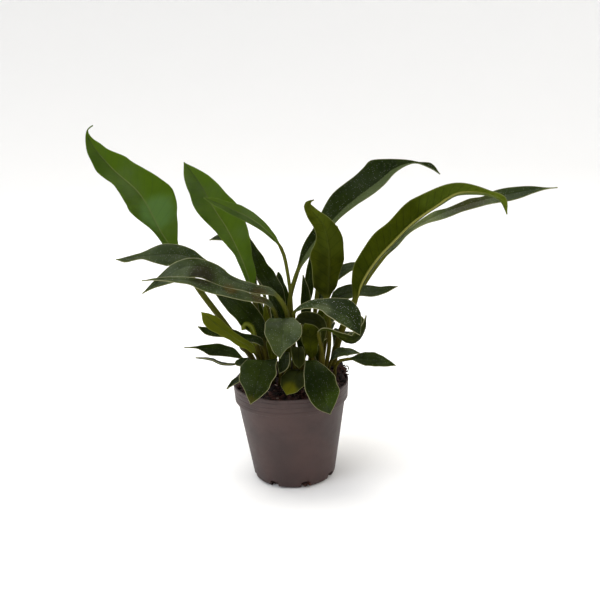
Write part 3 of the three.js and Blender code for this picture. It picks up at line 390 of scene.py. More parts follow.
     "route": [[28, -8, 65], [30, -11, 79], [39, -14, 82], [47, -17, 82.5], [56, -20, 81.5],
       [66, -22, 79]],
     "lean": 0, "roll": [-40, -40], "stalk": 0.42, "fold": 10,
     "wide": 10.5, "peak": 0.45, "base": 1.3, "tip": 0.9},
    # Fronds at the front, the lowest of them over the rim
    {"name": "frond_front_1", "stem": 2.6,
     "route": [[2.5, -8, 65], [3, -7.5, 92], [3.3, -8.7, 107], [3.8, -10.8, 113],
       [7.5, -14.2, 117], [14.5, -19, 120.5], [22, -24, 120.5], [29, -29, 119],
       [36.5, -33, 114.5], [43, -36, 104.5]],
     "lean": 0, "roll": [-10, -30, -40], "stalk": 0.46, "fold": 10,
     "left": [1.5, 2, 3, 4.5, 7, 9.5, 11, 9.5, 5.5], "right": [2, 2.5, 3.5, 4, 5, 7.5, 9, 8.5, 5]},
    {"name": "frond_front_2", "stem": 2.4,
     "route": [[20.5, -14, 65], [20.5, -19.5, 88], [18.5, -23.5, 101], [18.5, -25, 105],
       [22.5, -26, 106.5], [28.5, -27, 104], [34.5, -27.5, 100.5], [39, -28, 99],
       [43, -27.6, 101.5], [46.2, -26.8, 106.5], [47.6, -26.4, 114]],
     "lean": 0, "roll": [10, 15, 15, 40, 45, 20], "stalk": 0.46, "fold": 10,
     "left": [1.2, 1.6, 3.2, 5.5, 7, 6.4, 5, 3], "right": [1.2, 1.4, 2.2, 3.4, 4.8, 5.6, 5, 3]},
    {"name": "frond_front_3", "stem": 2.4,
     "route": [[18.5, -9, 65], [20, -11, 89.5], [21.5, -12, 99.5], [19.5, -12.5, 106.5],
       [15, -12.5, 109], [9.5, -12.6, 109.7], [6.3, -12.7, 109], [4.2, -12.8, 107.8]],
     "lean": 180, "roll": [60, 80, 80], "stalk": 0.45, "fold": 10,
     "left": [1.5, 2, 3, 3.8, 4.4, 4.4, 3.4], "right": [1.5, 2, 3, 3.8, 4.4, 4.4, 3.4]},
    {"name": "frond_front_4", "stem": 2.8,
     "route": [[-3, -8, 65], [-3, -12, 93], [-3, -14, 106], [-3, -19, 112], [-3, -27, 110],
       [-4, -33, 103], [-6, -37, 92.5]],
     "lean": 270, "roll": [0, 0], "stalk": 0.5, "fold": 5,
     "left": [8, 7, 6, 7, 9, 11, 11.5, 10.5, 7.5, 3.5, 1.5],
     "right": [9, 8, 7.5, 9.5, 11, 11.5, 11, 10.5, 9, 6.5, 4.5]},
    {"name": "frond_front_5", "stem": 2.6,
     "route": [[14, -9.5, 65], [14, -15, 83], [13, -19, 93], [13, -21.5, 102], [10, -24, 110]],
     "lean": 270, "roll": [0, 0], "stalk": 0.4, "fold": 5,
     "left": [3.5, 4, 4.5, 5, 5.5, 6.2, 7, 5.5, 3.5],
     "right": [4.2, 3.8, 3.6, 4.2, 5, 5.5, 5.5, 5, 3]},
    {"name": "frond_front_6", "stem": 2,
     "route": [[-7.5, -12, 65], [-4.5, -16, 85], [-3.3, -20, 90], [-3.8, -25, 86],
       [-5.2, -27.5, 82.5], [-7, -29.5, 80]],
     "lean": 260, "roll": [0, 0], "stalk": 0.4, "fold": 10,
     "left": [1.5, 2.2, 3, 3.6, 3.8, 3], "right": [2, 2.4, 2.8, 3.2, 3.3, 2.8]},
    {"name": "frond_front_7", "stem": 2,
     "route": [[6.5, -10, 65], [6, -12, 86], [5.5, -16, 92], [5.5, -21, 89.5],
       [5.5, -24, 85.5], [5.5, -25, 81]],
     "lean": 270, "roll": [0], "stalk": 0.4, "fold": 10,
     "left": [1.5, 2, 2.4, 3, 3.8, 3.8, 3], "right": [2, 3, 4, 4.5, 4.5, 4, 3]},
    {"name": "frond_front_8", "stem": 2.6,
     "route": [[-16.5, -14, 65], [-16, -20, 82], [-16, -27, 88], [-18, -34, 84],
       [-21, -40, 77], [-25, -45, 67]],
     "lean": 270, "roll": [0, 0], "stalk": 0.3, "fold": 5,
     "left": [8, 8, 9, 9.5, 8.5, 7, 4], "right": [8, 9.5, 11.5, 12.5, 12, 9, 4.5]},
    {"name": "frond_front_9", "stem": 2.6,
     "route": [[13, -14, 65], [13, -19, 80], [13, -26, 86], [15, -34, 81], [18, -40, 71],
       [23, -45, 58]],
     "lean": 270, "roll": [0, 0], "stalk": 0.3, "fold": 5,
     "left": [2, 5, 8.5, 10.5, 11, 10.5, 6], "right": [3, 5, 7, 8.5, 8.5, 8, 5.5]},
    {"name": "frond_front_10", "stem": 2.2,
     "route": [[8, -14.5, 65], [7.5, -19, 76.5], [5, -25, 79], [1.5, -30, 74.5], [-3, -35, 68]],
     "lean": 250, "roll": [0, 0], "stalk": 0.4, "fold": 10,
     "left": [3, 5, 7, 8, 8, 7, 4.5], "right": [3, 5, 7, 8, 8, 7, 4.5]},
    # Fronds at the back
    {"name": "frond_back_1", "stem": 2.6,
     "route": [[-4.5, 17.5, 65], [-5.5, 22, 78], [-7, 31, 85], [-8, 43, 86], [-8, 55, 81],
       [-7, 65, 72]],
     "lean": 95, "roll": [0, 0], "stalk": 0.3, "fold": 8,
     "wide": 21, "peak": 0.5, "base": 1.1, "tip": 0.8},
    {"name": "frond_back_2", "stem": 2.6,
     "route": [[12.5, 19, 65], [15, 25, 79], [18, 34, 86], [21, 45, 87], [24, 56, 82],
       [26, 65, 72]],
     "lean": 75, "roll": [0, 5], "stalk": 0.3, "fold": 8,
     "wide": 21, "peak": 0.5, "base": 1.1, "tip": 0.8},
    {"name": "frond_back_3", "stem": 2.4,
     "route": [[-20, 12, 65], [-21.5, 17, 76], [-23, 25, 81], [-25, 34, 81], [-28, 43, 75],
       [-30, 50, 67]],
     "lean": 125, "roll": [0, -5], "stalk": 0.3, "fold": 8,
     "wide": 17, "peak": 0.5, "base": 1.1, "tip": 0.8},
    {"name": "frond_back_4", "stem": 2.4,
     "route": [[27, 15, 65], [30, 19, 79], [34, 24, 86], [38, 30, 86], [42, 36, 82],
       [46, 41, 75]],
     "lean": 50, "roll": [0, 0], "stalk": 0.3, "fold": 8,
     "wide": 15, "peak": 0.5, "base": 1.1, "tip": 0.8},
    {"name": "frond_back_5", "stem": 3,
     "route": [[15, 12, 65], [17, 19, 95], [21, 28, 120], [25, 40, 138], [28, 54, 148],
       [30, 70, 150], [31, 86, 145], [32, 99, 135]],
     "lean": 85, "roll": [0, 0, 0], "stalk": 0.36, "fold": 10,
     "wide": 18, "peak": 0.45, "base": 1.3, "tip": 1},
    {"name": "frond_back_6", "stem": 3,
     "route": [[-12, 12, 65], [-15, 20, 95], [-21, 31, 123], [-29, 47, 146], [-37, 63, 157],
       [-45, 80, 158], [-51, 95, 151]],
     "lean": 120, "roll": [-10, -5, 0], "stalk": 0.36, "fold": 10,
     "wide": 16, "peak": 0.45, "base": 1.3, "tip": 1},
    {"name": "frond_back_7", "stem": 2.6,
     "route": [[20, 15, 65], [24, 25, 84], [31, 38, 93], [40, 52, 92], [49, 65, 84],
       [55, 74, 74]],
     "lean": 55, "roll": [0, 0], "stalk": 0.36, "fold": 8,
     "wide": 16, "peak": 0.45, "base": 1.2, "tip": 0.9},
    {"name": "frond_back_8", "stem": 2.6,
     "route": [[-13, 18, 65], [-16, 28, 84], [-19, 41, 94], [-22, 56, 94], [-26, 69, 86],
       [-30, 79, 76]],
     "lean": 108, "roll": [0, 0], "stalk": 0.36, "fold": 8,
     "wide": 16, "peak": 0.45, "base": 1.2, "tip": 0.9},
]

# Lengths in mm, the others are shares
bladeForm = {
    "stalkBlend": 0.14, "ribTaper": 0.45, "tipHalf": 0.35, "rootDeep": 7, "dent": 0.16,
    "thickMiddle": 0.75, "thickEdge": 0.42, "edgeShare": 0.4, "bead": 0.14,
    "ribHigh": 0.75, "ribHalf": 1.25, "ribThin": 0.25, "ribShare": 0.3, "groove": 0.3,
    "veinGap": 5.4, "veinSlant": 0.75, "veinHigh": 0.1, "quilt": 0.1, "fewestVeins": 5,
    "ragged": 0.035, "ripple": 0.35,
    "stalkStep": 5, "fewestStalkRows": 4,
    "veinRows": (0, 0.14, 0.5, 0.86),
    "acrossSteps": (0.14, 0.32, 0.52, 0.72, 0.88, 1.0),
}


# Catmull-Rom through evenly spaced values
def smoothAt(values, t):
    v = np.asarray(values, float)
    if len(v) == 1:
        return np.full_like(t, v[0])
    v = np.concatenate([[2 * v[0] - v[1]], v, [2 * v[-1] - v[-2]]])
    x = np.clip(t, 0, 1) * (len(v) - 3)
    i = np.minimum(x.astype(int), len(v) - 4)
    f = x - i
    a, b, c, d = v[i], v[i + 1], v[i + 2], v[i + 3]
    return b + 0.5 * f * (c - a + f * (2 * a - 5 * b + 4 * c - d + f * (3 * (b - c) + d - a)))


# The midrib's points, evenly spaced along a centripetal curve, and its length
def midribOf(route, count=500):
    p = np.asarray(route, float)
    p = np.vstack([2 * p[0] - p[1], p, 2 * p[-1] - p[-2]])
    t = np.linspace(0, 1, 60, endpoint=False)[:, None]
    spans = []
    for p0, p1, p2, p3 in zip(p, p[1:], p[2:], p[3:]):
        d0, d1, d2 = (np.linalg.norm(b - a) ** 0.5 for a, b in ((p0, p1), (p1, p2), (p2, p3)))
        m1 = ((p1 - p0) / d0 - (p2 - p0) / (d0 + d1) + (p2 - p1) / d1) * d1
        m2 = ((p2 - p1) / d1 - (p3 - p1) / (d1 + d2) + (p3 - p2) / d2) * d1
        spans.append(p1 + m1 * t + (3 * (p2 - p1) - 2 * m1 - m2) * t ** 2
                     + (2 * (p1 - p2) + m1 + m2) * t ** 3)
    line = np.vstack(spans + [p[-2:-1]])
    far = np.concatenate([[0], np.cumsum(np.linalg.norm(np.diff(line, axis=0), axis=1))])
    even = np.linspace(0, far[-1], count + 1)
    return np.stack([np.interp(even, far, line[:, k]) for k in range(3)], 1), far[-1]


# The midrib and, at each of its points, the axes along, across and out of the upper face
def frondAxes(row):
    line, long = midribOf(row["route"])
    along = np.gradient(line, axis=0)
    along /= np.linalg.norm(along, axis=1)[:, None]
    heading = math.radians(row["lean"])
    across = np.array([math.sin(heading), -math.cos(heading), 0.0])
    across = across - along * (along @ across)[:, None]
    across /= np.linalg.norm(across, axis=1)[:, None]
    out = np.cross(across, along)
    turn = np.radians(smoothAt(row["roll"], np.linspace(0, 1, len(line))))[:, None]
    return {
        "line": line, "long": long, "along": along,
        "across": across * np.cos(turn) + out * np.sin(turn),
        "out": out * np.cos(turn) - across * np.sin(turn),
    }


def halfWidth(row, b, side):
    if "left" in row:
        return np.maximum(smoothAt([0, *row["left" if side < 0 else "right"], 0], b), 0)
    rise = np.sin(math.pi / 2 * np.minimum(b / row["peak"], 1)) ** row["base"]
    past = np.clip((b - row["peak"]) / (1 - row["peak"]), 0, 1)
    return row["wide"] / 2 * rise * np.maximum(np.cos(math.pi / 2 * past), 0) ** row["tip"]


def smoothStep(x):
    x = np.clip(x, 0, 1)
    return x * x * (3 - 2 * x)


def isYoung(row):
    return row["name"].startswith("young") or row["name"] == "crozier"


# One frond as a closed shell whose cross rows follow the side veins
def makeFrond(row, materials):
    form = bladeForm
    chance = random.Random(row["name"])
    axes = frondAxes(row)
    long, stalk = axes["long"], row["stalk"]
    bladeLong = long * (1 - stalk)
    veins = max(form["fewestVeins"], round(bladeLong / form["veinGap"]))

    # Rows: the stalk's, then four for each side vein, as shares of the blade and vein numbers
    stalkRows = max(form["fewestStalkRows"], round(stalk * long / form["stalkStep"]))
    b = [-(1 - k / stalkRows) for k in range(stalkRows)]
    phase = [0.0] * stalkRows
    for v in range(veins):
        for part in form["veinRows"]:
            b.append((v + part) / veins)
            phase.append(v + part)
    b.append(1.0)
    phase.append(float(veins))
    b, phase = np.array(b), np.array(phase)

    # Lines from the left margin to the right one
    steps = form["acrossSteps"]
    lines = [(-1, 1, f) for f in reversed(steps)] + [(-1, 0, 1.0), (-1, 0, 0.5), (1, 0, 0.0)]
    lines += [(1, 0, 0.5), (1, 0, 1.0)] + [(1, 1, f) for f in steps]
    count = len(lines)
    waves = [(chance.uniform(5, 11), chance.uniform(0, 6.3), chance.uniform(0.4, 1))
             for _ in range(4)]

    def half(b, side):
        b = np.clip(b, 0, 1)
        rag = sum(w * np.sin(f * b * 3 + s * side) for f, s, w in waves[:2])
        return np.maximum(halfWidth(row, b, side) * (1 + form["ragged"] * rag), form["tipHalf"])

    def ribHalf(b, whole):
        wide = form["ribThin"] + (form["ribHalf"] - form["ribThin"]) * (1 - np.clip(b, 0, 1))
        return np.minimum(wide, whole * form["ribShare"])

    upper, lower, edge, marks = [], [], {}, []
    for index, (side, outer, f) in enumerate(lines):
        def reach(b):
            whole = half(b, side)
            rib = ribHalf(b, whole)
            return (rib + (whole - rib) * f if outer else rib * f), whole, rib
        w, whole, rib = reach(b)
        room = np.maximum((1 - b) * bladeLong, 1e-6)
        push = room * (1 - np.exp(-form["veinSlant"] * w / room)) * np.clip(b * 12, 0, 1)
        at = np.where(b > 0, np.clip(b + push / bladeLong, 0, 1), b)
        w, whole, rib = reach(at)
        t = np.where(at > 0, stalk + at * (1 - stalk), stalk * (1 + at))
        u = w / whole
        blade = np.clip(at, 0, 1)
        flat = smoothStep(blade / form["stalkBlend"])

        fold = math.radians(row.get("foldRight", row["fold"]) if side > 0 else row["fold"])
        lift = w * math.sin(fold)
        if "wave" in row:
            number, high, turn = row["wave"]
            lift = lift + (high * u ** 2 * np.sin(2 * math.pi * number * blade + turn * side)
                           * np.sin(math.pi * blade))
        ripple = sum(a * np.sin(q * blade * 4 + s * side + 1) for q, s, a in waves[2:])
        lift = lift + form["ripple"] * ripple * u ** 2 * np.sin(math.pi * blade) * whole / 14
        between = 0.5 - 0.5 * np.cos(2 * math.pi * phase)
        fade = np.sin(math.pi * np.clip((u - 0.02) / 0.98, 0, 1)) ** 0.7
        fade = fade * np.sin(math.pi * blade) ** 0.5
        lift = lift + form["quilt"] * min(whole.max() / 9, 1.2) * between * fade
        crest = np.clip(1 - between * 3, 0, 1) * fade * form["veinHigh"]
        middle = row.get("thick", form["thickMiddle"])
        thick = middle + (max(form["thickEdge"], middle * form["edgeShare"]) - middle) * u
        bulge = np.clip(1 - (w / np.maximum(rib, 1e-6)) ** 2, 0, 1)

        radius = row["stem"] / 2 * (1 - (1 - form["ribTaper"]) * flat)
        angle = math.pi * (1 - (index + 1) / (count + 1))
        beside = radius * math.cos(angle)
        high = radius * math.sin(angle)
        dent = 1 - form["dent"] * math.exp(-((index - count // 2) / 2.2) ** 2)
        x = beside + (side * w * math.cos(fold) - beside) * flat
        top = lift + thick / 2 - form["groove"] * bulge * (1 - blade)
        under = lift - thick / 2 - crest - form["ribHigh"] * bulge * (1 - 0.75 * blade)
        top = high * dent + (top - high * dent) * flat
        under = -high + (under + high) * flat

        frameAt = {k: np.stack([np.interp(t * (len(axes["line"]) - 1),
                                          np.arange(len(axes["line"])), axes[k][:, c])
                                for c in range(3)], 1) for k in ("line", "across", "out")}
        for many, y in ((upper, top), (lower, under)):
            many.append(frameAt["line"] + frameAt["across"] * x[:, None]
                        + frameAt["out"] * y[:, None])
        marks.append(np.stack([side * w, (t - 1) * long, whole, flat, phase], 1))
        if index in (0, count - 1):
            swing = -1 if index == 0 else 1
            x = swing * radius + (x + swing * form["bead"] - swing * radius) * flat
            y = lift * flat
            edge[index] = (frameAt["line"] + frameAt["across"] * x[:, None]
                           + frameAt["out"] * y[:, None])
    ring = ([edge[0]] + upper + [edge[count - 1]] + lower[::-1])
    ringMarks = [marks[0]] + marks + [marks[-1]] + marks[::-1]
    grid = np.stack(ring, 1)
    marksGrid = np.stack(ringMarks, 1)
    foot = grid[0] - axes["along"][0] * form["rootDeep"]
    grid = np.concatenate([foot[None], grid])
    marksGrid = np.concatenate([marksGrid[:1], marksGrid])
    rows, size = grid.shape[:2]

    faces, kinds = [], []
    for k in range(rows - 1):
        for i in range(size):
            j = (i + 1) % size
            faces.append((k * size + i, k * size + j, (k + 1) * size + j, (k + 1) * size + i))
            kinds.append(0 if i <= count else 1)
    faces.append(tuple(reversed(range(size))))
    faces.append(tuple((rows - 1) * size + i for i in range(size)))
    kinds += [1, 1]
    piece = newPiece(row["name"] + "_leaf", grid.reshape(-1, 3), faces, materials)
    mesh = piece.data
    mesh.polygons.foreach_set("material_index", kinds)
    corner = np.zeros(len(mesh.loops), int)
    mesh.loops.foreach_get("vertex_index", corner)
    flatMarks = marksGrid.reshape(-1, 5)[corner]
    tone = chance.random()
    # In centimetres across and along, then half width and flatness, then vein number and tone
    for name, first, second in (("blade", flatMarks[:, 0] / 10, flatMarks[:, 1] / 10),
                                ("form", flatMarks[:, 2] / 10, flatMarks[:, 3]),
                                ("veins", flatMarks[:, 4], np.full(len(corner), tone))):
        layer = mesh.uv_layers.new(name=name)
        layer.data.foreach_set("uv", np.stack([first, second], 1).ravel())
    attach(piece, "root")
    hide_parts(row["name"])


# Tints of each look; patches (own tints, painted sheen, painted shade) have a centre in mm, a
# radius, a tint and a strength
leafLooks = {
    "dark": {
        "upper": ("#121904", "#222c07"), "upperVein": "#33411c", "upperVeinShow": 0.06,
        "under": ("#20260a", "#2e3409"), "underVein": "#131702", "underVeinShow": 0.25,
        "rib": "#5f6630", "ribShow": (0.12, 0.6), "margin": "#a8a678", "marginShow": 0.75,
        "dots": 0.4, "shine": (0.035, 0.02), "paintedSheen": 0.22, "through": "#6a7c00", "share": 0.36,
        "tintAndPaintedLightPatches": [((-21.5, -21, 84.4), 10, "#3c4c12", 0.65),
                    ((-25.5, -45, 68), 5, "#5c521a", 0.35),
                    ((12, -37, 77.7), 12, "#0d1703", 0.7), ((27, -43, 66), 7, "#33440f", 0.6),
                    ((33, -47, 59), 4, "#6d681c", 0.4)],
    },
    "grey": {
        "upper": ("#222b13", "#39431f"), "upperVein": "#4a5530", "upperVeinShow": 0.08,
        "under": ("#2a300c", "#3a4012"), "underVein": "#1a1e06", "underVeinShow": 0.25,
        "rib": "#6a7040", "ribShow": (0.12, 0.6), "margin": "#a8a678", "marginShow": 0.75,
        "dots": 0.6, "shine": (0.1, 0.04), "paintedSheen": 0.6, "through": "#7c8e00", "share": 0.35,
        # The first patch is a painted shade and the one at (90, 33.3, 160) a painted sheen; the
        # rest are the leaf's own brown and dark green
        "tintAndPaintedLightPatches": [((-50.3, -26, 143.4), 9, "#1f1412", 0.9),
                    ((-34, -27, 135.2), 5, "#4a3712", 0.7),
                    ((-17, -20, 127.6), 7, "#3f2c12", 0.65), ((-75, 2, 149), 11, "#1b270a", 0.7),
                    ((-58, 1, 149), 9, "#1b270a", 0.6), ((121, 36.6, 170), 15, "#2b2810", 0.85),
                    ((90, 33.3, 160), 12, "#626a3c", 0.7), ((157, 36.8, 176), 16, "#1c270d", 0.9)],
    },
    "bright": {
        "upper": ("#2b3b10", "#43541e"), "upperVein": "#5d7434", "upperVeinShow": 0.12,
        "under": ("#2d3906", "#3f4b0c"), "underVein": "#1c2604", "underVeinShow": 0.4,
        "rib": "#8d9850", "ribShow": (0.6, 0.7), "margin": "#7d8a45", "marginShow": 0.4,
        "dots": 0, "shine": (0.1, 0.03), "paintedSheen": 0.3, "through": "#8ca600", "share": 0.48,
        # Painted light: the right half is painted a lighter yellow-green, not a tint of the leaf
        "right": ("#4c640c", 0.55),
        # A painted sheen: a blue-grey reflection patch on the right half
        "tintAndPaintedLightPatches": [((-79.6, 18, 176), 12, "#5b7a4c", 0.7)],
    },
    "strap": {
        "upper": ("#151f06", "#26310d"), "upperVein": "#33411c", "upperVeinShow": 0.08,
        "under": ("#2a300c", "#3a4012"), "underVein": "#1a1e06", "underVeinShow": 0.25,
        "rib": "#5f6630", "ribShow": (0.15, 0.6), "margin": "#a8a678", "marginShow": 0.6,
        "dots": 0.7, "shine": (0.06, 0.04), "paintedSheen": 0.12, "through": "#6a7c00", "share": 0.36,
        # Painted sheen: the folded right half is painted a pale grey-green
        "right": ("#545f3a", 0.7),
    },
    "sheen": {
        "upper": ("#141e07", "#212d0b"), "upperVein": "#33411c", "upperVeinShow": 0.05,
        "under": ("#20260a", "#2e3409"), "underVein": "#131702", "underVeinShow": 0.25,
        "rib": "#5f6630", "ribShow": (0.1, 0.6), "margin": "#a8a678", "marginShow": 0.85,
        "dots": 1, "shine": (0.035, 0.02), "paintedSheen": 0.18, "through": "#5a6c00", "share": 0.3,
        # Painted sheen patches
        "tintAndPaintedLightPatches": [((21, -28, 118.8), 7, "#575f40", 0.6), ((8, -14, 117), 8, "#465034", 0.5),
                    ((34, -36.7, 114), 6, "#3f4a2a", 0.4)],
    },
    "olive": {
        "upper": ("#2a2d0a", "#3a3d12"), "upperVein": "#4d5020", "upperVeinShow": 0.1,
        "under": ("#2c3203", "#3d4306"), "underVein": "#161a02", "underVeinShow": 0.3,
        "rib": "#a3a052", "ribShow": (0.3, 0.95), "margin": "#8d9055", "marginShow": 0.5,
        "dots": 0.1, "shine": (0.03, 0.02), "paintedSheen": 0.05, "through": "#7c8a00", "share": 0.45,
        "tintAndPaintedLightPatches": [((119, -15, 183), 20, "#5c6a1c", 0.7), ((132, -25, 178), 14, "#64731f", 0.7),
                    ((96, -22, 187), 18, "#4a581a", 0.6)],
    },
    "plain": {
        "upper": ("#1c2005", "#31370a"), "upperVein": "#33380f", "upperVeinShow": 0.05,
        "under": ("#242905", "#414807"), "underVein": "#161a02", "underVeinShow": 0.15,
        "rib": "#4a4f1c", "ribShow": (0.15, 0.3), "margin": "#8d9055", "marginShow": 0.6,
        "dots": 0.05, "shine": (0.04, 0.02), "paintedSheen": 0.1, "through": "#666c00", "share": 0.36,
        "tintAndPaintedLightPatches": [((-0.8, -33.5, 70), 5.5, "#67660c", 0.75),
                    ((29, -1.4, 156.5), 11, "#4b5614", 0.6),
                    ((26, 4.6, 171.6), 8, "#4b5614", 0.6)],
    },
    "young": {
        "upper": ("#444c04", "#5a6410"), "upperVein": "#7b8630", "upperVeinShow": 0.15,
        "under": ("#4c5406", "#646c16"), "underVein": "#39400a", "underVeinShow": 0.2,
        "rib": "#8e9440", "ribShow": (0.4, 0.5), "margin": "#8f9848", "marginShow": 0.4,
        "dots": 0, "shine": (0.06, 0.04), "paintedSheen": 0.1, "through": "#a2a400", "share": 0.45,
    },
}

# Scales of the noises, and where each detail starts and ends, in cm on the blade
leafDetail = {
    "cloud": 60, "speckle": 800, "paintedSheenNoise": 45, "paintedSheenTint": "#5f6a50", "net": 8.5,
    "dots": 8.5, "dotEnds": (0.2, 0.1), "dotChosen": (0.55, 0.97), "dotTint": "#b9bfa2",
    "marginEnds": (0.03, 0.014), "ribMost": (0.05, 0.12), "ribShare": 0.16,
    "ribThrough": "#2c2c08", "bump": 0.00012,
}
stalkTints = {"foot": "#2a1b0e", "low": "#57501a", "high": "#656a22", "grain": "#3a3610",
              "through": "#55541a"}


def leafMaterial(name, look, side):
    material, tree = newMaterial(name)
    isUpper = side == "upper"
    detail = leafDetail

    def pair(uvMap):
        source = put(tree, "ShaderNodeUVMap", uv_map=uvMap)
        parts = put(tree, "ShaderNodeSeparateXYZ", {0: source.outputs[0]})
        return parts.outputs[0], parts.outputs[1], source.outputs[0]

    across, along, bladePlace = pair("blade")
    half, flat, _ = pair("form")
    vein, tone, _ = pair("veins")
    place = put(tree, "ShaderNodeTexCoord").outputs["Object"]
    far = calc(tree, "ABSOLUTE", across)
    share = calc(tree, "DIVIDE", far, half)
    toEdge = calc(tree, "SUBTRACT", half, far)

    # Flesh: cloudy green, a little different on each frond
    cloud = put(tree, "ShaderNodeTexNoise", {"Vector": place, "Scale": detail["cloud"],
                "Detail": 5, "Roughness": 0.6})
    speckle = put(tree, "ShaderNodeTexNoise", {"Vector": place, "Scale": detail["speckle"],
                  "Detail": 2})
    deep, pale = look[side]
    flesh = mixed(tree, step(tree, cloud.outputs[0], 0.36, 0.66), colour(deep), colour(pale))
    shade = calc(tree, "MULTIPLY_ADD", tone, 0.5, 0.65)
    shade = calc(tree, "MULTIPLY_ADD", speckle.outputs[0], 0.2, shade)
    grey = put(tree, "ShaderNodeCombineColor", {0: shade, 1: shade, 2: shade})
    flesh = mixed(tree, 1.0, flesh, grey.outputs[0], "MULTIPLY")
    # Painted light: the right half's upper face is mixed towards a lighter tint
    if isUpper and "right" in look:
        tint, strength = look["right"]
        rightHalfPaintedLight = calc(tree, "MULTIPLY", step(tree, across, -0.04, 0.06), strength)
        flesh = mixed(tree, rightHalfPaintedLight, flesh, colour(tint))
    # Painted sheen: grey-blue clouds on the upper face stand in for reflected light
    if isUpper:
        paintedSheenNoise = put(tree, "ShaderNodeTexNoise", {"Vector": place, "Scale": detail["paintedSheenNoise"],
                   "Detail": 5, "Roughness": 0.6})
        paintedSheenMask = calc(tree, "MULTIPLY", step(tree, paintedSheenNoise.outputs[0], 0.42, 0.7), look["paintedSheen"])
        flesh = mixed(tree, paintedSheenMask, flesh, colour(detail["paintedSheenTint"]))
    # Patches: the leaf's own tints, and painted sheen or painted shade where a look lists them
    for centre, radius, tint, strength in look.get("tintAndPaintedLightPatches", ()):
        away = put(tree, "ShaderNodeVectorMath", {0: place, 1: [c * mm for c in centre]},
                   operation="DISTANCE").outputs["Value"]
        ragged = calc(tree, "MULTIPLY_ADD", cloud.outputs[0], -radius * mm, away)
        patch = step(tree, ragged, radius * 0.7 * mm, 0)
        flesh = mixed(tree, calc(tree, "MULTIPLY", patch, strength), flesh, colour(tint))

    # Side veins and the fine net between them
    near = calc(tree, "PINGPONG", vein, 0.5)
    veinMask = calc(tree, "MULTIPLY", step(tree, near, 0.09, 0.01), step(tree, share, 1.0, 0.75))
    veinMask = calc(tree, "MULTIPLY", veinMask, flat)
    veinTint = calc(tree, "MULTIPLY", veinMask, look[side + "VeinShow"])
    flesh = mixed(tree, veinTint, flesh, colour(look[side + "Vein"]))
    net = put(tree, "ShaderNodeTexVoronoi", {"Vector": bladePlace, "Scale": detail["net"]},
              voronoi_dimensions="2D", feature="DISTANCE_TO_EDGE")
    netMask = step(tree, net.outputs["Distance"], 0.09, 0.0)

    # White lime dots stand on the upper face only
    if isUpper and look["dots"]:
        dots = put(tree, "ShaderNodeTexVoronoi", {"Vector": bladePlace, "Scale": detail["dots"],
                   "Randomness": 1.0}, voronoi_dimensions="2D")
        chosen = put(tree, "ShaderNodeSeparateColor", {0: dots.outputs["Color"]})
        dotMask = step(tree, dots.outputs["Distance"], *detail["dotEnds"])
        fewer = step(tree, chosen.outputs[0], *detail["dotChosen"])
        dotMask = calc(tree, "MULTIPLY", dotMask, fewer)
        dotMask = calc(tree, "MULTIPLY", dotMask, step(tree, toEdge, 0.05, 0.12))
        dotMask = calc(tree, "MULTIPLY", dotMask, look["dots"])
        flesh = mixed(tree, dotMask, flesh, colour(detail["dotTint"]))

    # Midrib, fading towards the tip, and the thin pale margin
    ribWide = calc(tree, "MINIMUM", calc(tree, "MULTIPLY", half, detail["ribShare"]),
                   detail["ribMost"][0 if isUpper else 1])
    ribMask = step(tree, calc(tree, "DIVIDE", far, ribWide), 1.1, 0.5)
    ribShow = look["ribShow"][0 if isUpper else 1]
    ribTint = calc(tree, "MULTIPLY", ribMask, calc(tree, "MULTIPLY", step(tree, along, 0, -5),
                   ribShow))
    flesh = mixed(tree, ribTint, flesh, colour(look["rib"]))
    marginMask = calc(tree, "MULTIPLY", step(tree, toEdge, *detail["marginEnds"]), flat)
    marginTint = calc(tree, "MULTIPLY", marginMask, look["marginShow"])
    flesh = mixed(tree, marginTint, flesh, colour(look["margin"]))

    # The stalk, brown at its foot
    high = put(tree, "ShaderNodeSeparateXYZ", {0: place}).outputs[2]
    stalk = mixed(tree, step(tree, high, 0.064, 0.075), colour(stalkTints["foot"]),
                  colour(stalkTints["low"]))
    stalk = mixed(tree, step(tree, high, 0.08, 0.13), stalk, colour(stalkTints["high"]))
    stalk = mixed(tree, calc(tree, "MULTIPLY", speckle.outputs[0], 0.4), stalk,
                  colour(stalkTints["grain"]))
    bladeShare = step(tree, flat, 0.1, 0.75)
    skin = mixed(tree, bladeShare, stalk, flesh)

    relief = calc(tree, "MULTIPLY_ADD", netMask, -0.35 if isUpper else 0.5, speckle.outputs[0])
    bump = put(tree, "ShaderNodeBump", {"Height": relief, "Strength": 0.35,
               "Distance": detail["bump"]})
    rough = calc(tree, "MULTIPLY_ADD", cloud.outputs[0], 0.16, 0.3 if isUpper else 0.42)
    shader = put(tree, "ShaderNodeBsdfPrincipled", {
        "Base Color": skin, "Roughness": rough,
        "Specular IOR Level": look["shine"][0 if isUpper else 1],
        "Normal": bump.outputs[0]})
    through = mixed(tree, calc(tree, "MULTIPLY", veinMask, 0.12 if isUpper else 0.3),
                    colour(look["through"]), colour(look["underVein"]))
    through = mixed(tree, calc(tree, "MULTIPLY", ribMask, 0.4), through,
                    colour(detail["ribThrough"]))
    through = mixed(tree, bladeShare, colour(stalkTints["through"]), through)
    glow = put(tree, "ShaderNodeBsdfTranslucent", {"Color": through, "Normal": bump.outputs[0]})
    both = put(tree, "ShaderNodeMixShader", {0: look["share"], 1: shader.outputs[0],
               2: glow.outputs[0]})
    finishMaterial(tree, both.outputs[0])
    return material


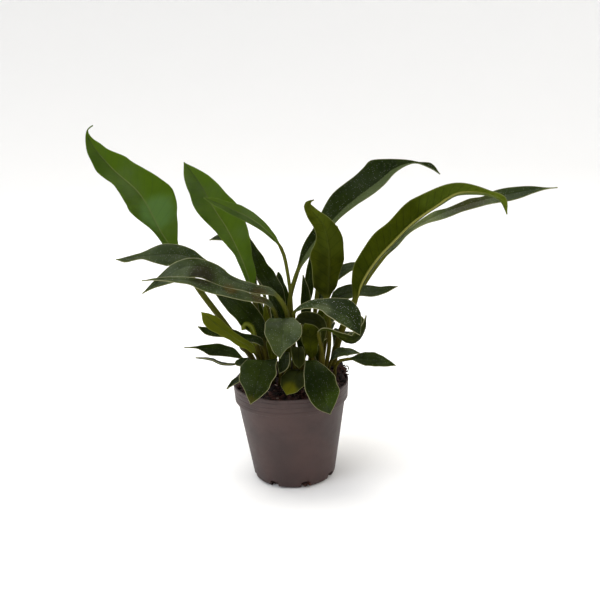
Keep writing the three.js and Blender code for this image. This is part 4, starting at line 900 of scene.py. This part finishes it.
leafMaterials = {
    name: [leafMaterial("leaf_%s_%s" % (name, side), look, side) for side in ("upper", "under")]
    for name, look in leafLooks.items()
}
lookOf = {
    "frond_left_tall_1": "bright", "frond_left_tall_2": "bright", "frond_left_arch": "bright",
    "frond_right_tall": "strap", "frond_right_arch_1": "olive", "frond_middle_12": "olive",
    "frond_right_upright": "plain", "frond_front_3": "plain", "frond_front_5": "plain",
    "frond_front_7": "plain", "frond_front_10": "plain", "frond_middle_8": "plain",
    "frond_middle_9": "plain",
    "frond_left_droop_1": "grey", "frond_left_droop_2": "grey", "frond_left_droop_3": "grey",
    "frond_right_arch_2": "grey", "frond_front_4": "grey", "frond_right_low_3": "grey",
    "frond_front_1": "sheen",
}
for row in fronds:
    look = "young" if isYoung(row) else lookOf.get(row["name"], "dark")
    makeFrond(row, leafMaterials[look])
print("fronds made:", len(fronds))


# The pot, in mm and degrees
pot = {
    "high": 65, "rim": 37.5, "bandHigh": 11.5, "bandFoot": 36.8, "wallTop": 35.2, "base": 26.8,
    "corner": 1.4, "wall": 1.3, "floor": 2.2,
    "rings": (2.2, 5.4, 8.6), "ringHigh": 0.8, "ringDeep": 0.25,
    "slots": 8, "slotTurn": 14, "slotWide": 6, "slotHigh": 4.4, "slotIn": 22.5, "slotOut": 30,
    "slotSteps": 8,
    "sides": 160,
    "plastic": "#32221f", "plasticPale": "#402c28", "soil": "#160a06",
}
bandLow = pot["high"] - pot["bandHigh"]
ledge = bandLow + pot["wall"]


def wallIn(z):
    return pot["base"] + (pot["wallTop"] - pot["base"]) * z / bandLow - pot["wall"]


def bandOut(z):
    return pot["bandFoot"] + (pot["rim"] - pot["bandFoot"]) * (z - bandLow) / pot["bandHigh"]


# A closed lathe of [radius, height] pairs from the axis back to the axis, upwards outside
def turned(profile, sides):
    points = [(0, 0, profile[0][1])]
    for r, z in profile[1:-1]:
        for j in range(sides):
            a = 2 * math.pi * j / sides
            points.append((r * math.cos(a), r * math.sin(a), z))
    points.append((0, 0, profile[-1][1]))
    faces = []
    last = len(points) - 1
    for j in range(sides):
        n = (j + 1) % sides
        faces.append((0, 1 + n, 1 + j))
        for k in range(len(profile) - 3):
            a, b = 1 + k * sides + j, 1 + k * sides + n
            faces.append((a, b, b + sides, a + sides))
        low = 1 + (len(profile) - 3) * sides
        faces.append((low + j, low + n, last))
    return points, faces


# Corners of a profile rounded to a radius where one is given
def rounded(profile):
    result = []
    for k, (r, z, *size) in enumerate(profile):
        if not size:
            result.append((r, z))
            continue
        here = Vector((r, z))
        before = (Vector(profile[k - 1][:2]) - here)
        after = (Vector(profile[k + 1][:2]) - here)
        reach = min(size[0], before.length * 0.45, after.length * 0.45)
        start, end = here + before.normalized() * reach, here + after.normalized() * reach
        for i in range(6):
            s = i / 5
            p = start * (1 - s) ** 2 + here * 2 * s * (1 - s) + end * s * s
            result.append((p.x, p.y))
    return result


def potMaterial():
    material, tree = newMaterial("pot_plastic_worn")
    place = put(tree, "ShaderNodeTexCoord").outputs["Object"]
    parts = put(tree, "ShaderNodeSeparateXYZ", {0: place})
    cloud = put(tree, "ShaderNodeTexNoise", {"Vector": place, "Scale": 38, "Detail": 4})
    fine = put(tree, "ShaderNodeTexNoise", {"Vector": place, "Scale": 1500, "Detail": 2})
    tint = mixed(tree, step(tree, cloud.outputs[0], 0.35, 0.7), colour(pot["plastic"]),
                 colour(pot["plasticPale"]))
    # Soil dust on the lip and inside, and a few smears on the wall
    dust = put(tree, "ShaderNodeTexNoise", {"Vector": place, "Scale": 160, "Detail": 5,
               "Roughness": 0.7})
    nearLip = step(tree, parts.outputs[2], 0.058, 0.0655)
    soiled = calc(tree, "MULTIPLY", step(tree, dust.outputs[0], 0.52, 0.72),
                  calc(tree, "MULTIPLY_ADD", nearLip, 0.5, 0.12))
    tint = mixed(tree, soiled, tint, colour(pot["soil"]))
    # Fine lines round the wall from the mould
    squash = put(tree, "ShaderNodeMapping", {"Vector": place, "Scale": (0.02, 0.02, 1)})
    lines = put(tree, "ShaderNodeTexNoise", {"Vector": squash.outputs[0], "Scale": 1100,
                "Detail": 2})
    tint = mixed(tree, calc(tree, "MULTIPLY", lines.outputs[0], 0.22), tint, colour("#2a201f"))
    relief = calc(tree, "MULTIPLY_ADD", lines.outputs[0], 0.8, fine.outputs[0])
    bump = put(tree, "ShaderNodeBump", {"Height": relief, "Strength": 0.3, "Distance": 0.00015})
    rough = calc(tree, "MULTIPLY_ADD", dust.outputs[0], 0.25, 0.42)
    shader = put(tree, "ShaderNodeBsdfPrincipled", {
        "Base Color": tint, "Roughness": rough, "Specular IOR Level": 0.4,
        "Normal": bump.outputs[0]})
    finishMaterial(tree, shader.outputs[0])
    return material


# Blocks for the drain slots, through the foot of the wall and the floor
def slotCutter():
    points, faces = [], []
    steps = pot["slotSteps"]
    for k in range(pot["slots"]):
        a = math.radians(pot["slotTurn"]) + 2 * math.pi * k / pot["slots"]
        ring = []
        for i in range(steps + 1):
            s = math.pi * i / steps
            ring.append((pot["slotWide"] / 2 * math.cos(s), pot["slotHigh"] - 1 + math.sin(s)))
        ring += [(-pot["slotWide"] / 2, -1), (pot["slotWide"] / 2, -1)]
        first, size = len(points), len(ring)
        for r in (pot["slotIn"], pot["slotOut"]):
            points += [(r * math.cos(a) - y * math.sin(a), r * math.sin(a) + y * math.cos(a), z)
                       for y, z in ring]
        block = [(i + size, (i + 1) % size + size, (i + 1) % size, i) for i in range(size)]
        block += [tuple(range(size)), tuple(range(2 * size - 1, size - 1, -1))]
        faces += [tuple(i + first for i in face) for face in block]
    cutter = newPiece("slot_cutter", points, faces, [])
    shell = bmesh.new()
    shell.from_mesh(cutter.data)
    bmesh.ops.recalc_face_normals(shell, faces=shell.faces)
    shell.to_mesh(cutter.data)
    shell.free()
    return cutter


def makePot():
    profile = [
        (0, 0), (pot["base"] - 3, 0), (pot["base"] - pot["corner"], 0, 0.9),
        (pot["base"], pot["corner"], 0.9),
        (pot["wallTop"], bandLow, 0.5), (pot["bandFoot"], bandLow, 0.5),
    ]
    for level in reversed(pot["rings"]):
        z, half = pot["high"] - level, pot["ringHigh"] / 2
        profile += [(bandOut(z - half), z - half, 0.2), (bandOut(z) - pot["ringDeep"], z, 0.2),
                    (bandOut(z + half), z + half, 0.2)]
    profile += [
        (pot["rim"], pot["high"], 0.6), (pot["rim"] - pot["wall"], pot["high"], 0.6),
        (bandOut(ledge) - pot["wall"], ledge, 0.5), (wallIn(ledge), ledge, 0.5),
        (wallIn(pot["floor"]), pot["floor"], 1), (0, pot["floor"]),
    ]
    points, faces = turned(rounded(profile), pot["sides"])
    piece = newPiece("nursery_pot", points, faces, [potMaterial()])
    cutter = slotCutter()
    cut = piece.modifiers.new("slots", "BOOLEAN")
    cut.operation = "DIFFERENCE"
    cut.object = cutter
    cut.solver = "EXACT"
    bpy.context.view_layer.update()
    ready = piece.evaluated_get(bpy.context.evaluated_depsgraph_get())
    mesh = bpy.data.meshes.new_from_object(ready)
    piece.modifiers.clear()
    piece.data = mesh
    bpy.data.objects.remove(cutter)
    mesh.polygons.foreach_set("use_smooth", [True] * len(mesh.polygons))
    mesh.set_sharp_from_angle(angle=math.radians(35))
    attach(piece, "root")
    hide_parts("pot")


makePot()
print("pot made")


# The potting mix, in mm
mix = {
    "gap": 0.35, "edge": 63.6, "mound": 2.2, "lump": 0.7,
    "heaps": (((-28.5, 5), 9.5, 7.5), ((29.5, 6.5), 10, 7), ((26, 20), 3.6, 8)),
    "rings": 46, "sides": 150, "waves": 14, "waveHigh": 0.22, "start": 7,
    "bark": ("#120806", "#39190f"), "chip": "#a08f82",
}


def mixHeight(x, y):
    reach = np.hypot(x, y) / (pot["rim"] - pot["wall"])
    fade = 1 - np.minimum(reach, 1) ** 4
    z = mix["edge"] + mix["mound"] * (1 - reach ** 2)
    z = z + mix["lump"] * fade * np.sin(0.42 * x + 1.1) * np.cos(0.37 * y - 0.4)
    z = z + mix["lump"] * 0.6 * fade * np.sin(0.8 * x - 0.6 * y)
    for (hx, hy), high, wide in mix["heaps"]:
        far = np.hypot(x - hx, y - hy) / wide
        z = z + high * (1 - np.minimum(reach, 1) ** 10) * np.exp(-far * far)
    return z


def barkMaterial(name, deep, pale, rough):
    material, tree = newMaterial(name)
    place = put(tree, "ShaderNodeTexCoord").outputs["Object"]
    grain = put(tree, "ShaderNodeTexNoise", {"Vector": place, "Scale": 420, "Detail": 6,
                "Roughness": 0.65})
    patch = put(tree, "ShaderNodeTexNoise", {"Vector": place, "Scale": 190, "Detail": 2})
    tint = mixed(tree, step(tree, patch.outputs[0], 0.4, 0.66), colour(deep), colour(pale))
    tint = mixed(tree, calc(tree, "MULTIPLY", step(tree, grain.outputs[0], 0.45, 0.7), 0.6), tint,
                 colour("#0d0705"))
    bump = put(tree, "ShaderNodeBump", {"Height": grain.outputs[0], "Strength": 0.8,
               "Distance": 0.0005})
    shader = put(tree, "ShaderNodeBsdfPrincipled", {
        "Base Color": tint, "Roughness": rough, "Specular IOR Level": 0.3,
        "Normal": bump.outputs[0]})
    finishMaterial(tree, shader.outputs[0])
    return material


def makeMix(material):
    top = bandOut(mix["edge"]) - pot["wall"] - mix["gap"]
    wall = [(top, mix["edge"]), (bandOut(ledge) - pot["wall"] - mix["gap"], ledge + mix["gap"]),
            (wallIn(ledge) - mix["gap"], ledge + mix["gap"]),
            (wallIn(pot["floor"]) - mix["gap"], pot["floor"] + mix["gap"])]
    rings = [top * k / mix["rings"] for k in range(1, mix["rings"])]
    chance = random.Random(mix["start"])
    waves = [(chance.uniform(0.5, 2.4), chance.uniform(0, 6.3), chance.uniform(0, 6.3))
             for _ in range(mix["waves"])]

    def crumbled(x, y):
        reach = math.hypot(x, y) / top
        lumps = sum(math.sin(f * (x * math.cos(a) + y * math.sin(a)) + s) / f for f, a, s in waves)
        high = float(mixHeight(np.float64(x), np.float64(y)))
        return high + mix["waveHigh"] * lumps * (1 - reach ** 8)

    points, faces = [(0, 0, crumbled(0, 0))], []
    sides = mix["sides"]
    for r, z in [(r, None) for r in rings] + wall:
        for j in range(sides):
            a = 2 * math.pi * j / sides
            x, y = r * math.cos(a), r * math.sin(a)
            points.append((x, y, crumbled(x, y) if z is None else z))
    points.append((0, 0, pot["floor"] + mix["gap"]))
    last, total = len(points) - 1, len(rings) + len(wall)
    for j in range(sides):
        n = (j + 1) % sides
        faces.append((0, 1 + j, 1 + n))
        for k in range(total - 1):
            a, b = 1 + k * sides + j, 1 + k * sides + n
            faces.append((a, a + sides, b + sides, b))
        low = 1 + (total - 1) * sides
        faces.append((low + j, last, low + n))
    piece = newPiece("potting_mix_body", points, faces, [material])
    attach(piece, "root")
    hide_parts("potting_mix")


# The mix's top alone, for crumbs to be strewn on
def mixTop():
    points, faces = [], []
    size = 70
    radius = pot["rim"] - pot["wall"] - 1.6
    for i in range(size + 1):
        for j in range(size + 1):
            x, y = (2 * i / size - 1) * radius, (2 * j / size - 1) * radius
            points.append((x, y, float(mixHeight(np.float64(x), np.float64(y)))))
    for i in range(size):
        for j in range(size):
            a = i * (size + 1) + j
            corners = (a, a + size + 1, a + size + 2, a + 1)
            if all(math.hypot(*points[c][:2]) < radius for c in corners):
                faces.append(corners)
    return points, faces


# A node tree with named inputs, each with its kind and value
def newTree(name, inputs):
    tree = bpy.data.node_groups.new(name, "GeometryNodeTree")
    face = tree.interface
    face.new_socket("Geometry", in_out="INPUT", socket_type="NodeSocketGeometry")
    for label, (kind, value) in inputs.items():
        socket = face.new_socket(label, in_out="INPUT", socket_type="NodeSocket" + kind)
        if value is not None:
            socket.default_value = value
    face.new_socket("Geometry", in_out="OUTPUT", socket_type="NodeSocketGeometry")
    return tree, tree.nodes.new("NodeGroupInput").outputs


# A small push in any direction for each point
def noisePush(tree, scale, amount):
    where = tree.nodes.new("GeometryNodeInputPosition").outputs[0]
    noise = put(tree, "ShaderNodeTexNoise", {"Vector": where, "Scale": scale, "Detail": 1.0})
    centred = put(tree, "ShaderNodeVectorMath", {0: noise.outputs["Color"],
                  1: (0.5, 0.5, 0.5)}, operation="SUBTRACT")
    push = put(tree, "ShaderNodeVectorMath", {0: centred.outputs[0], "Scale": amount},
               operation="SCALE")
    return push.outputs[0]


def finishTree(tree, geometry, given):
    real = put(tree, "GeometryNodeRealizeInstances", {"Geometry": geometry})
    dressed = put(tree, "GeometryNodeSetMaterial", {"Geometry": real.outputs[0],
                  "Material": given["Material"]})
    result = tree.nodes.new("NodeGroupOutput")
    tree.links.new(dressed.outputs[0], result.inputs[0])
    return tree


# Steps of the ball, its stretch, how far it leans (radians) and the knobbles' scale
lumpForm = {"steps": 2, "stretch": (0.7, 1.3), "lean": 0.6, "round": 6.28, "grain": 900.0}


# Lumps strewn over a surface: a small ball on each point, stretched, turned and knobbled
def strewTree(name):
    tree, given = newTree(name, {
        "Spacing": ("Float", 0.002), "Smallest": ("Float", 0.0005), "Largest": ("Float", 0.0015),
        "Length": ("Float", 1.5), "Flatness": ("Float", 0.7), "Knobble": ("Float", 0.3),
        "Sink": ("Float", 0.2), "Density": ("Float", 300000.0), "Seed": ("Int", 1),
        "Material": ("Material", None)})
    strewn = put(tree, "GeometryNodeDistributePointsOnFaces", {
        "Mesh": given["Geometry"], "Distance Min": given["Spacing"],
        "Density Max": given["Density"], "Seed": given["Seed"]}, distribute_method="POISSON")
    ball = put(tree, "GeometryNodeMeshIcoSphere", {"Radius": 1.0,
               "Subdivisions": lumpForm["steps"]})

    def chance(low, high, offset, kind="FLOAT"):
        node = put(tree, "FunctionNodeRandomValue", data_type=kind)
        seed = calc(tree, "ADD", given["Seed"], offset)
        first = 0 if kind == "FLOAT_VECTOR" else 2
        for socket, value in ((node.inputs[first], low), (node.inputs[first + 1], high),
                              (node.inputs["Seed"], seed)):
            if isinstance(value, bpy.types.NodeSocket):
                tree.links.new(value, socket)
            else:
                socket.default_value = value
        return node.outputs[0 if kind == "FLOAT_VECTOR" else 1]

    size = chance(given["Smallest"], given["Largest"], 11)
    stretch = chance(*lumpForm["stretch"], 12)
    shape = put(tree, "ShaderNodeCombineXYZ", {
        0: calc(tree, "MULTIPLY", calc(tree, "MULTIPLY", size, given["Length"]), stretch),
        1: size, 2: calc(tree, "MULTIPLY", size, given["Flatness"])})
    lean = lumpForm["lean"]
    turn = chance((-lean, -lean, 0.0), (lean, lean, lumpForm["round"]), 13, "FLOAT_VECTOR")
    placed = put(tree, "GeometryNodeInstanceOnPoints", {
        "Points": strewn.outputs["Points"], "Instance": ball.outputs["Mesh"],
        "Rotation": turn, "Scale": shape.outputs[0]})
    real = put(tree, "GeometryNodeRealizeInstances", {"Geometry": placed.outputs[0]})
    amount = calc(tree, "MULTIPLY", given["Knobble"], given["Largest"])
    push = noisePush(tree, lumpForm["grain"], amount)
    drop = calc(tree, "MULTIPLY", given["Sink"], given["Largest"])
    down = put(tree, "ShaderNodeCombineXYZ", {2: calc(tree, "MULTIPLY", drop, -1.0)})
    move = put(tree, "ShaderNodeVectorMath", {0: push, 1: down.outputs[0]}, operation="ADD")
    moved = put(tree, "GeometryNodeSetPosition", {"Geometry": real.outputs[0],
                "Offset": move.outputs[0]})
    return finishTree(tree, moved.outputs[0], given)


# Runs a tree on a mesh with these inputs and leaves a plain mesh
def grown(piece, tree, inputs):
    modifier = piece.modifiers.new(tree.name, "NODES")
    modifier.node_group = tree
    sockets = {item.name: item.identifier for item in tree.interface.items_tree
               if item.item_type == "SOCKET" and item.in_out == "INPUT"}
    for label, value in inputs.items():
        modifier[sockets[label]] = value
    bpy.context.view_layer.update()
    ready = piece.evaluated_get(bpy.context.evaluated_depsgraph_get())
    mesh = bpy.data.meshes.new_from_object(ready)
    piece.modifiers.clear()
    piece.data = mesh


strewn = [
    # name, inputs in metres
    ("bark_lumps", {"Spacing": 0.003, "Smallest": 0.001, "Largest": 0.0026, "Length": 1.5,
                    "Flatness": 0.75, "Knobble": 0.6, "Sink": 0.1, "Seed": 3}),
    ("bark_crumbs", {"Spacing": 0.0011, "Smallest": 0.0003, "Largest": 0.0008, "Length": 1.4,
                     "Flatness": 0.8, "Knobble": 0.5, "Sink": -0.3, "Seed": 5}),
    ("pale_chips", {"Spacing": 0.0085, "Smallest": 0.0003, "Largest": 0.0008, "Length": 1.9,
                    "Flatness": 0.4, "Knobble": 0.3, "Sink": -1.4, "Seed": 9}),
]
barkDark = barkMaterial("bark_dark", *mix["bark"], 0.8)
chipPale = barkMaterial("chip_pale", "#6f5c4c", mix["chip"], 0.85)
makeMix(barkDark)
strewing = strewTree("strewn_lumps")
for name, inputs in strewn:
    piece = newPiece(name, *mixTop(), [])
    material = chipPale if name == "pale_chips" else barkDark
    grown(piece, strewing, {**inputs, "Material": material})
    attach(piece, "root")
    print(name, len(piece.data.polygons), "faces")
print("potting mix made")


# Root threads: a tangle on the mix at the right and a few hairs out of a drain slot
roots = {
    "thick": 0.75, "sides": 6, "lowest": 0.4, "count": 24,
    "scatter": 0.6, "startTilt": (-0.5, 0.7), "bend": 1.3, "climb": (-0.7, 0.6),
    "steepest": (-0.8, 0.9), "tint": ("#1e0c07", "#48200f"),
    # centre, spread and number of threads, pieces a thread, length of a piece, start number
    "top": ((33, 8, 67.5), (3.4, 4.5, 2.4), 60, 6, 0.95, 21),
    "foot": ((7, -25.4, 2.6), (3.2, 0.9, 1.2), 14, 5, 0.9, 8),
}


# Lines of a mesh as round threads
def threadTree(name):
    tree, given = newTree(name, {
        "Thickness": ("Float", 0.0004), "Sides": ("Int", 6), "Count": ("Int", 24),
        "Rough": ("Float", 0.0003), "Grain": ("Float", 1400.0), "Material": ("Material", None)})
    path = put(tree, "GeometryNodeMeshToCurve", {"Mesh": given["Geometry"]})
    curl = put(tree, "GeometryNodeCurveSplineType", {"Curve": path.outputs[0]},
               spline_type="CATMULL_ROM")
    even = put(tree, "GeometryNodeResampleCurve", {"Curve": curl.outputs[0],
               "Count": given["Count"]})
    ring = put(tree, "GeometryNodeCurvePrimitiveCircle", {
        "Resolution": given["Sides"], "Radius": calc(tree, "MULTIPLY", given["Thickness"], 0.5)})
    tube = put(tree, "GeometryNodeCurveToMesh", {"Curve": even.outputs[0],
               "Profile Curve": ring.outputs[0], "Fill Caps": True})
    moved = put(tree, "GeometryNodeSetPosition", {"Geometry": tube.outputs[0],
                "Offset": noisePush(tree, given["Grain"], given["Rough"])})
    return finishTree(tree, moved.outputs[0], given)


# Each thread wanders from a place near the centre
def makeRoots(name, where, tree, material):
    centre, spread, count, pieces, long, start = where
    chance = random.Random(start)
    points, edges = [], []
    for _ in range(count):
        place = [c + s * chance.gauss(0, roots["scatter"]) for c, s in zip(centre, spread)]
        turn, tilt = chance.uniform(0, 6.3), chance.uniform(*roots["startTilt"])
        for k in range(pieces):
            points.append(tuple(place))
            if k:
                edges.append((len(points) - 2, len(points) - 1))
            turn += chance.uniform(-roots["bend"], roots["bend"])
            tilt += chance.uniform(*roots["climb"])
            tilt = max(roots["steepest"][0], min(roots["steepest"][1], tilt))
            ahead = (math.cos(turn) * math.cos(tilt), math.sin(turn) * math.cos(tilt),
                     math.sin(tilt))
            place = [p + long * d for p, d in zip(place, ahead)]
            place[2] = max(place[2], roots["lowest"])
    mesh = bpy.data.meshes.new(name)
    mesh.from_pydata([tuple(c * mm for c in p) for p in points], edges, [])
    piece = bpy.data.objects.new(name, mesh)
    bpy.context.scene.collection.objects.link(piece)
    grown(piece, tree, {"Thickness": roots["thick"] * mm, "Sides": roots["sides"],
                        "Count": roots["count"], "Material": material})
    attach(piece, "root")
    print(name, len(piece.data.polygons), "faces")


rootBrown = barkMaterial("root_brown", *roots["tint"], 0.75)
threads = threadTree("root_threads")
makeRoots("roots_at_lip", roots["top"], threads, rootBrown)
makeRoots("roots_at_slot", roots["foot"], threads, rootBrown)
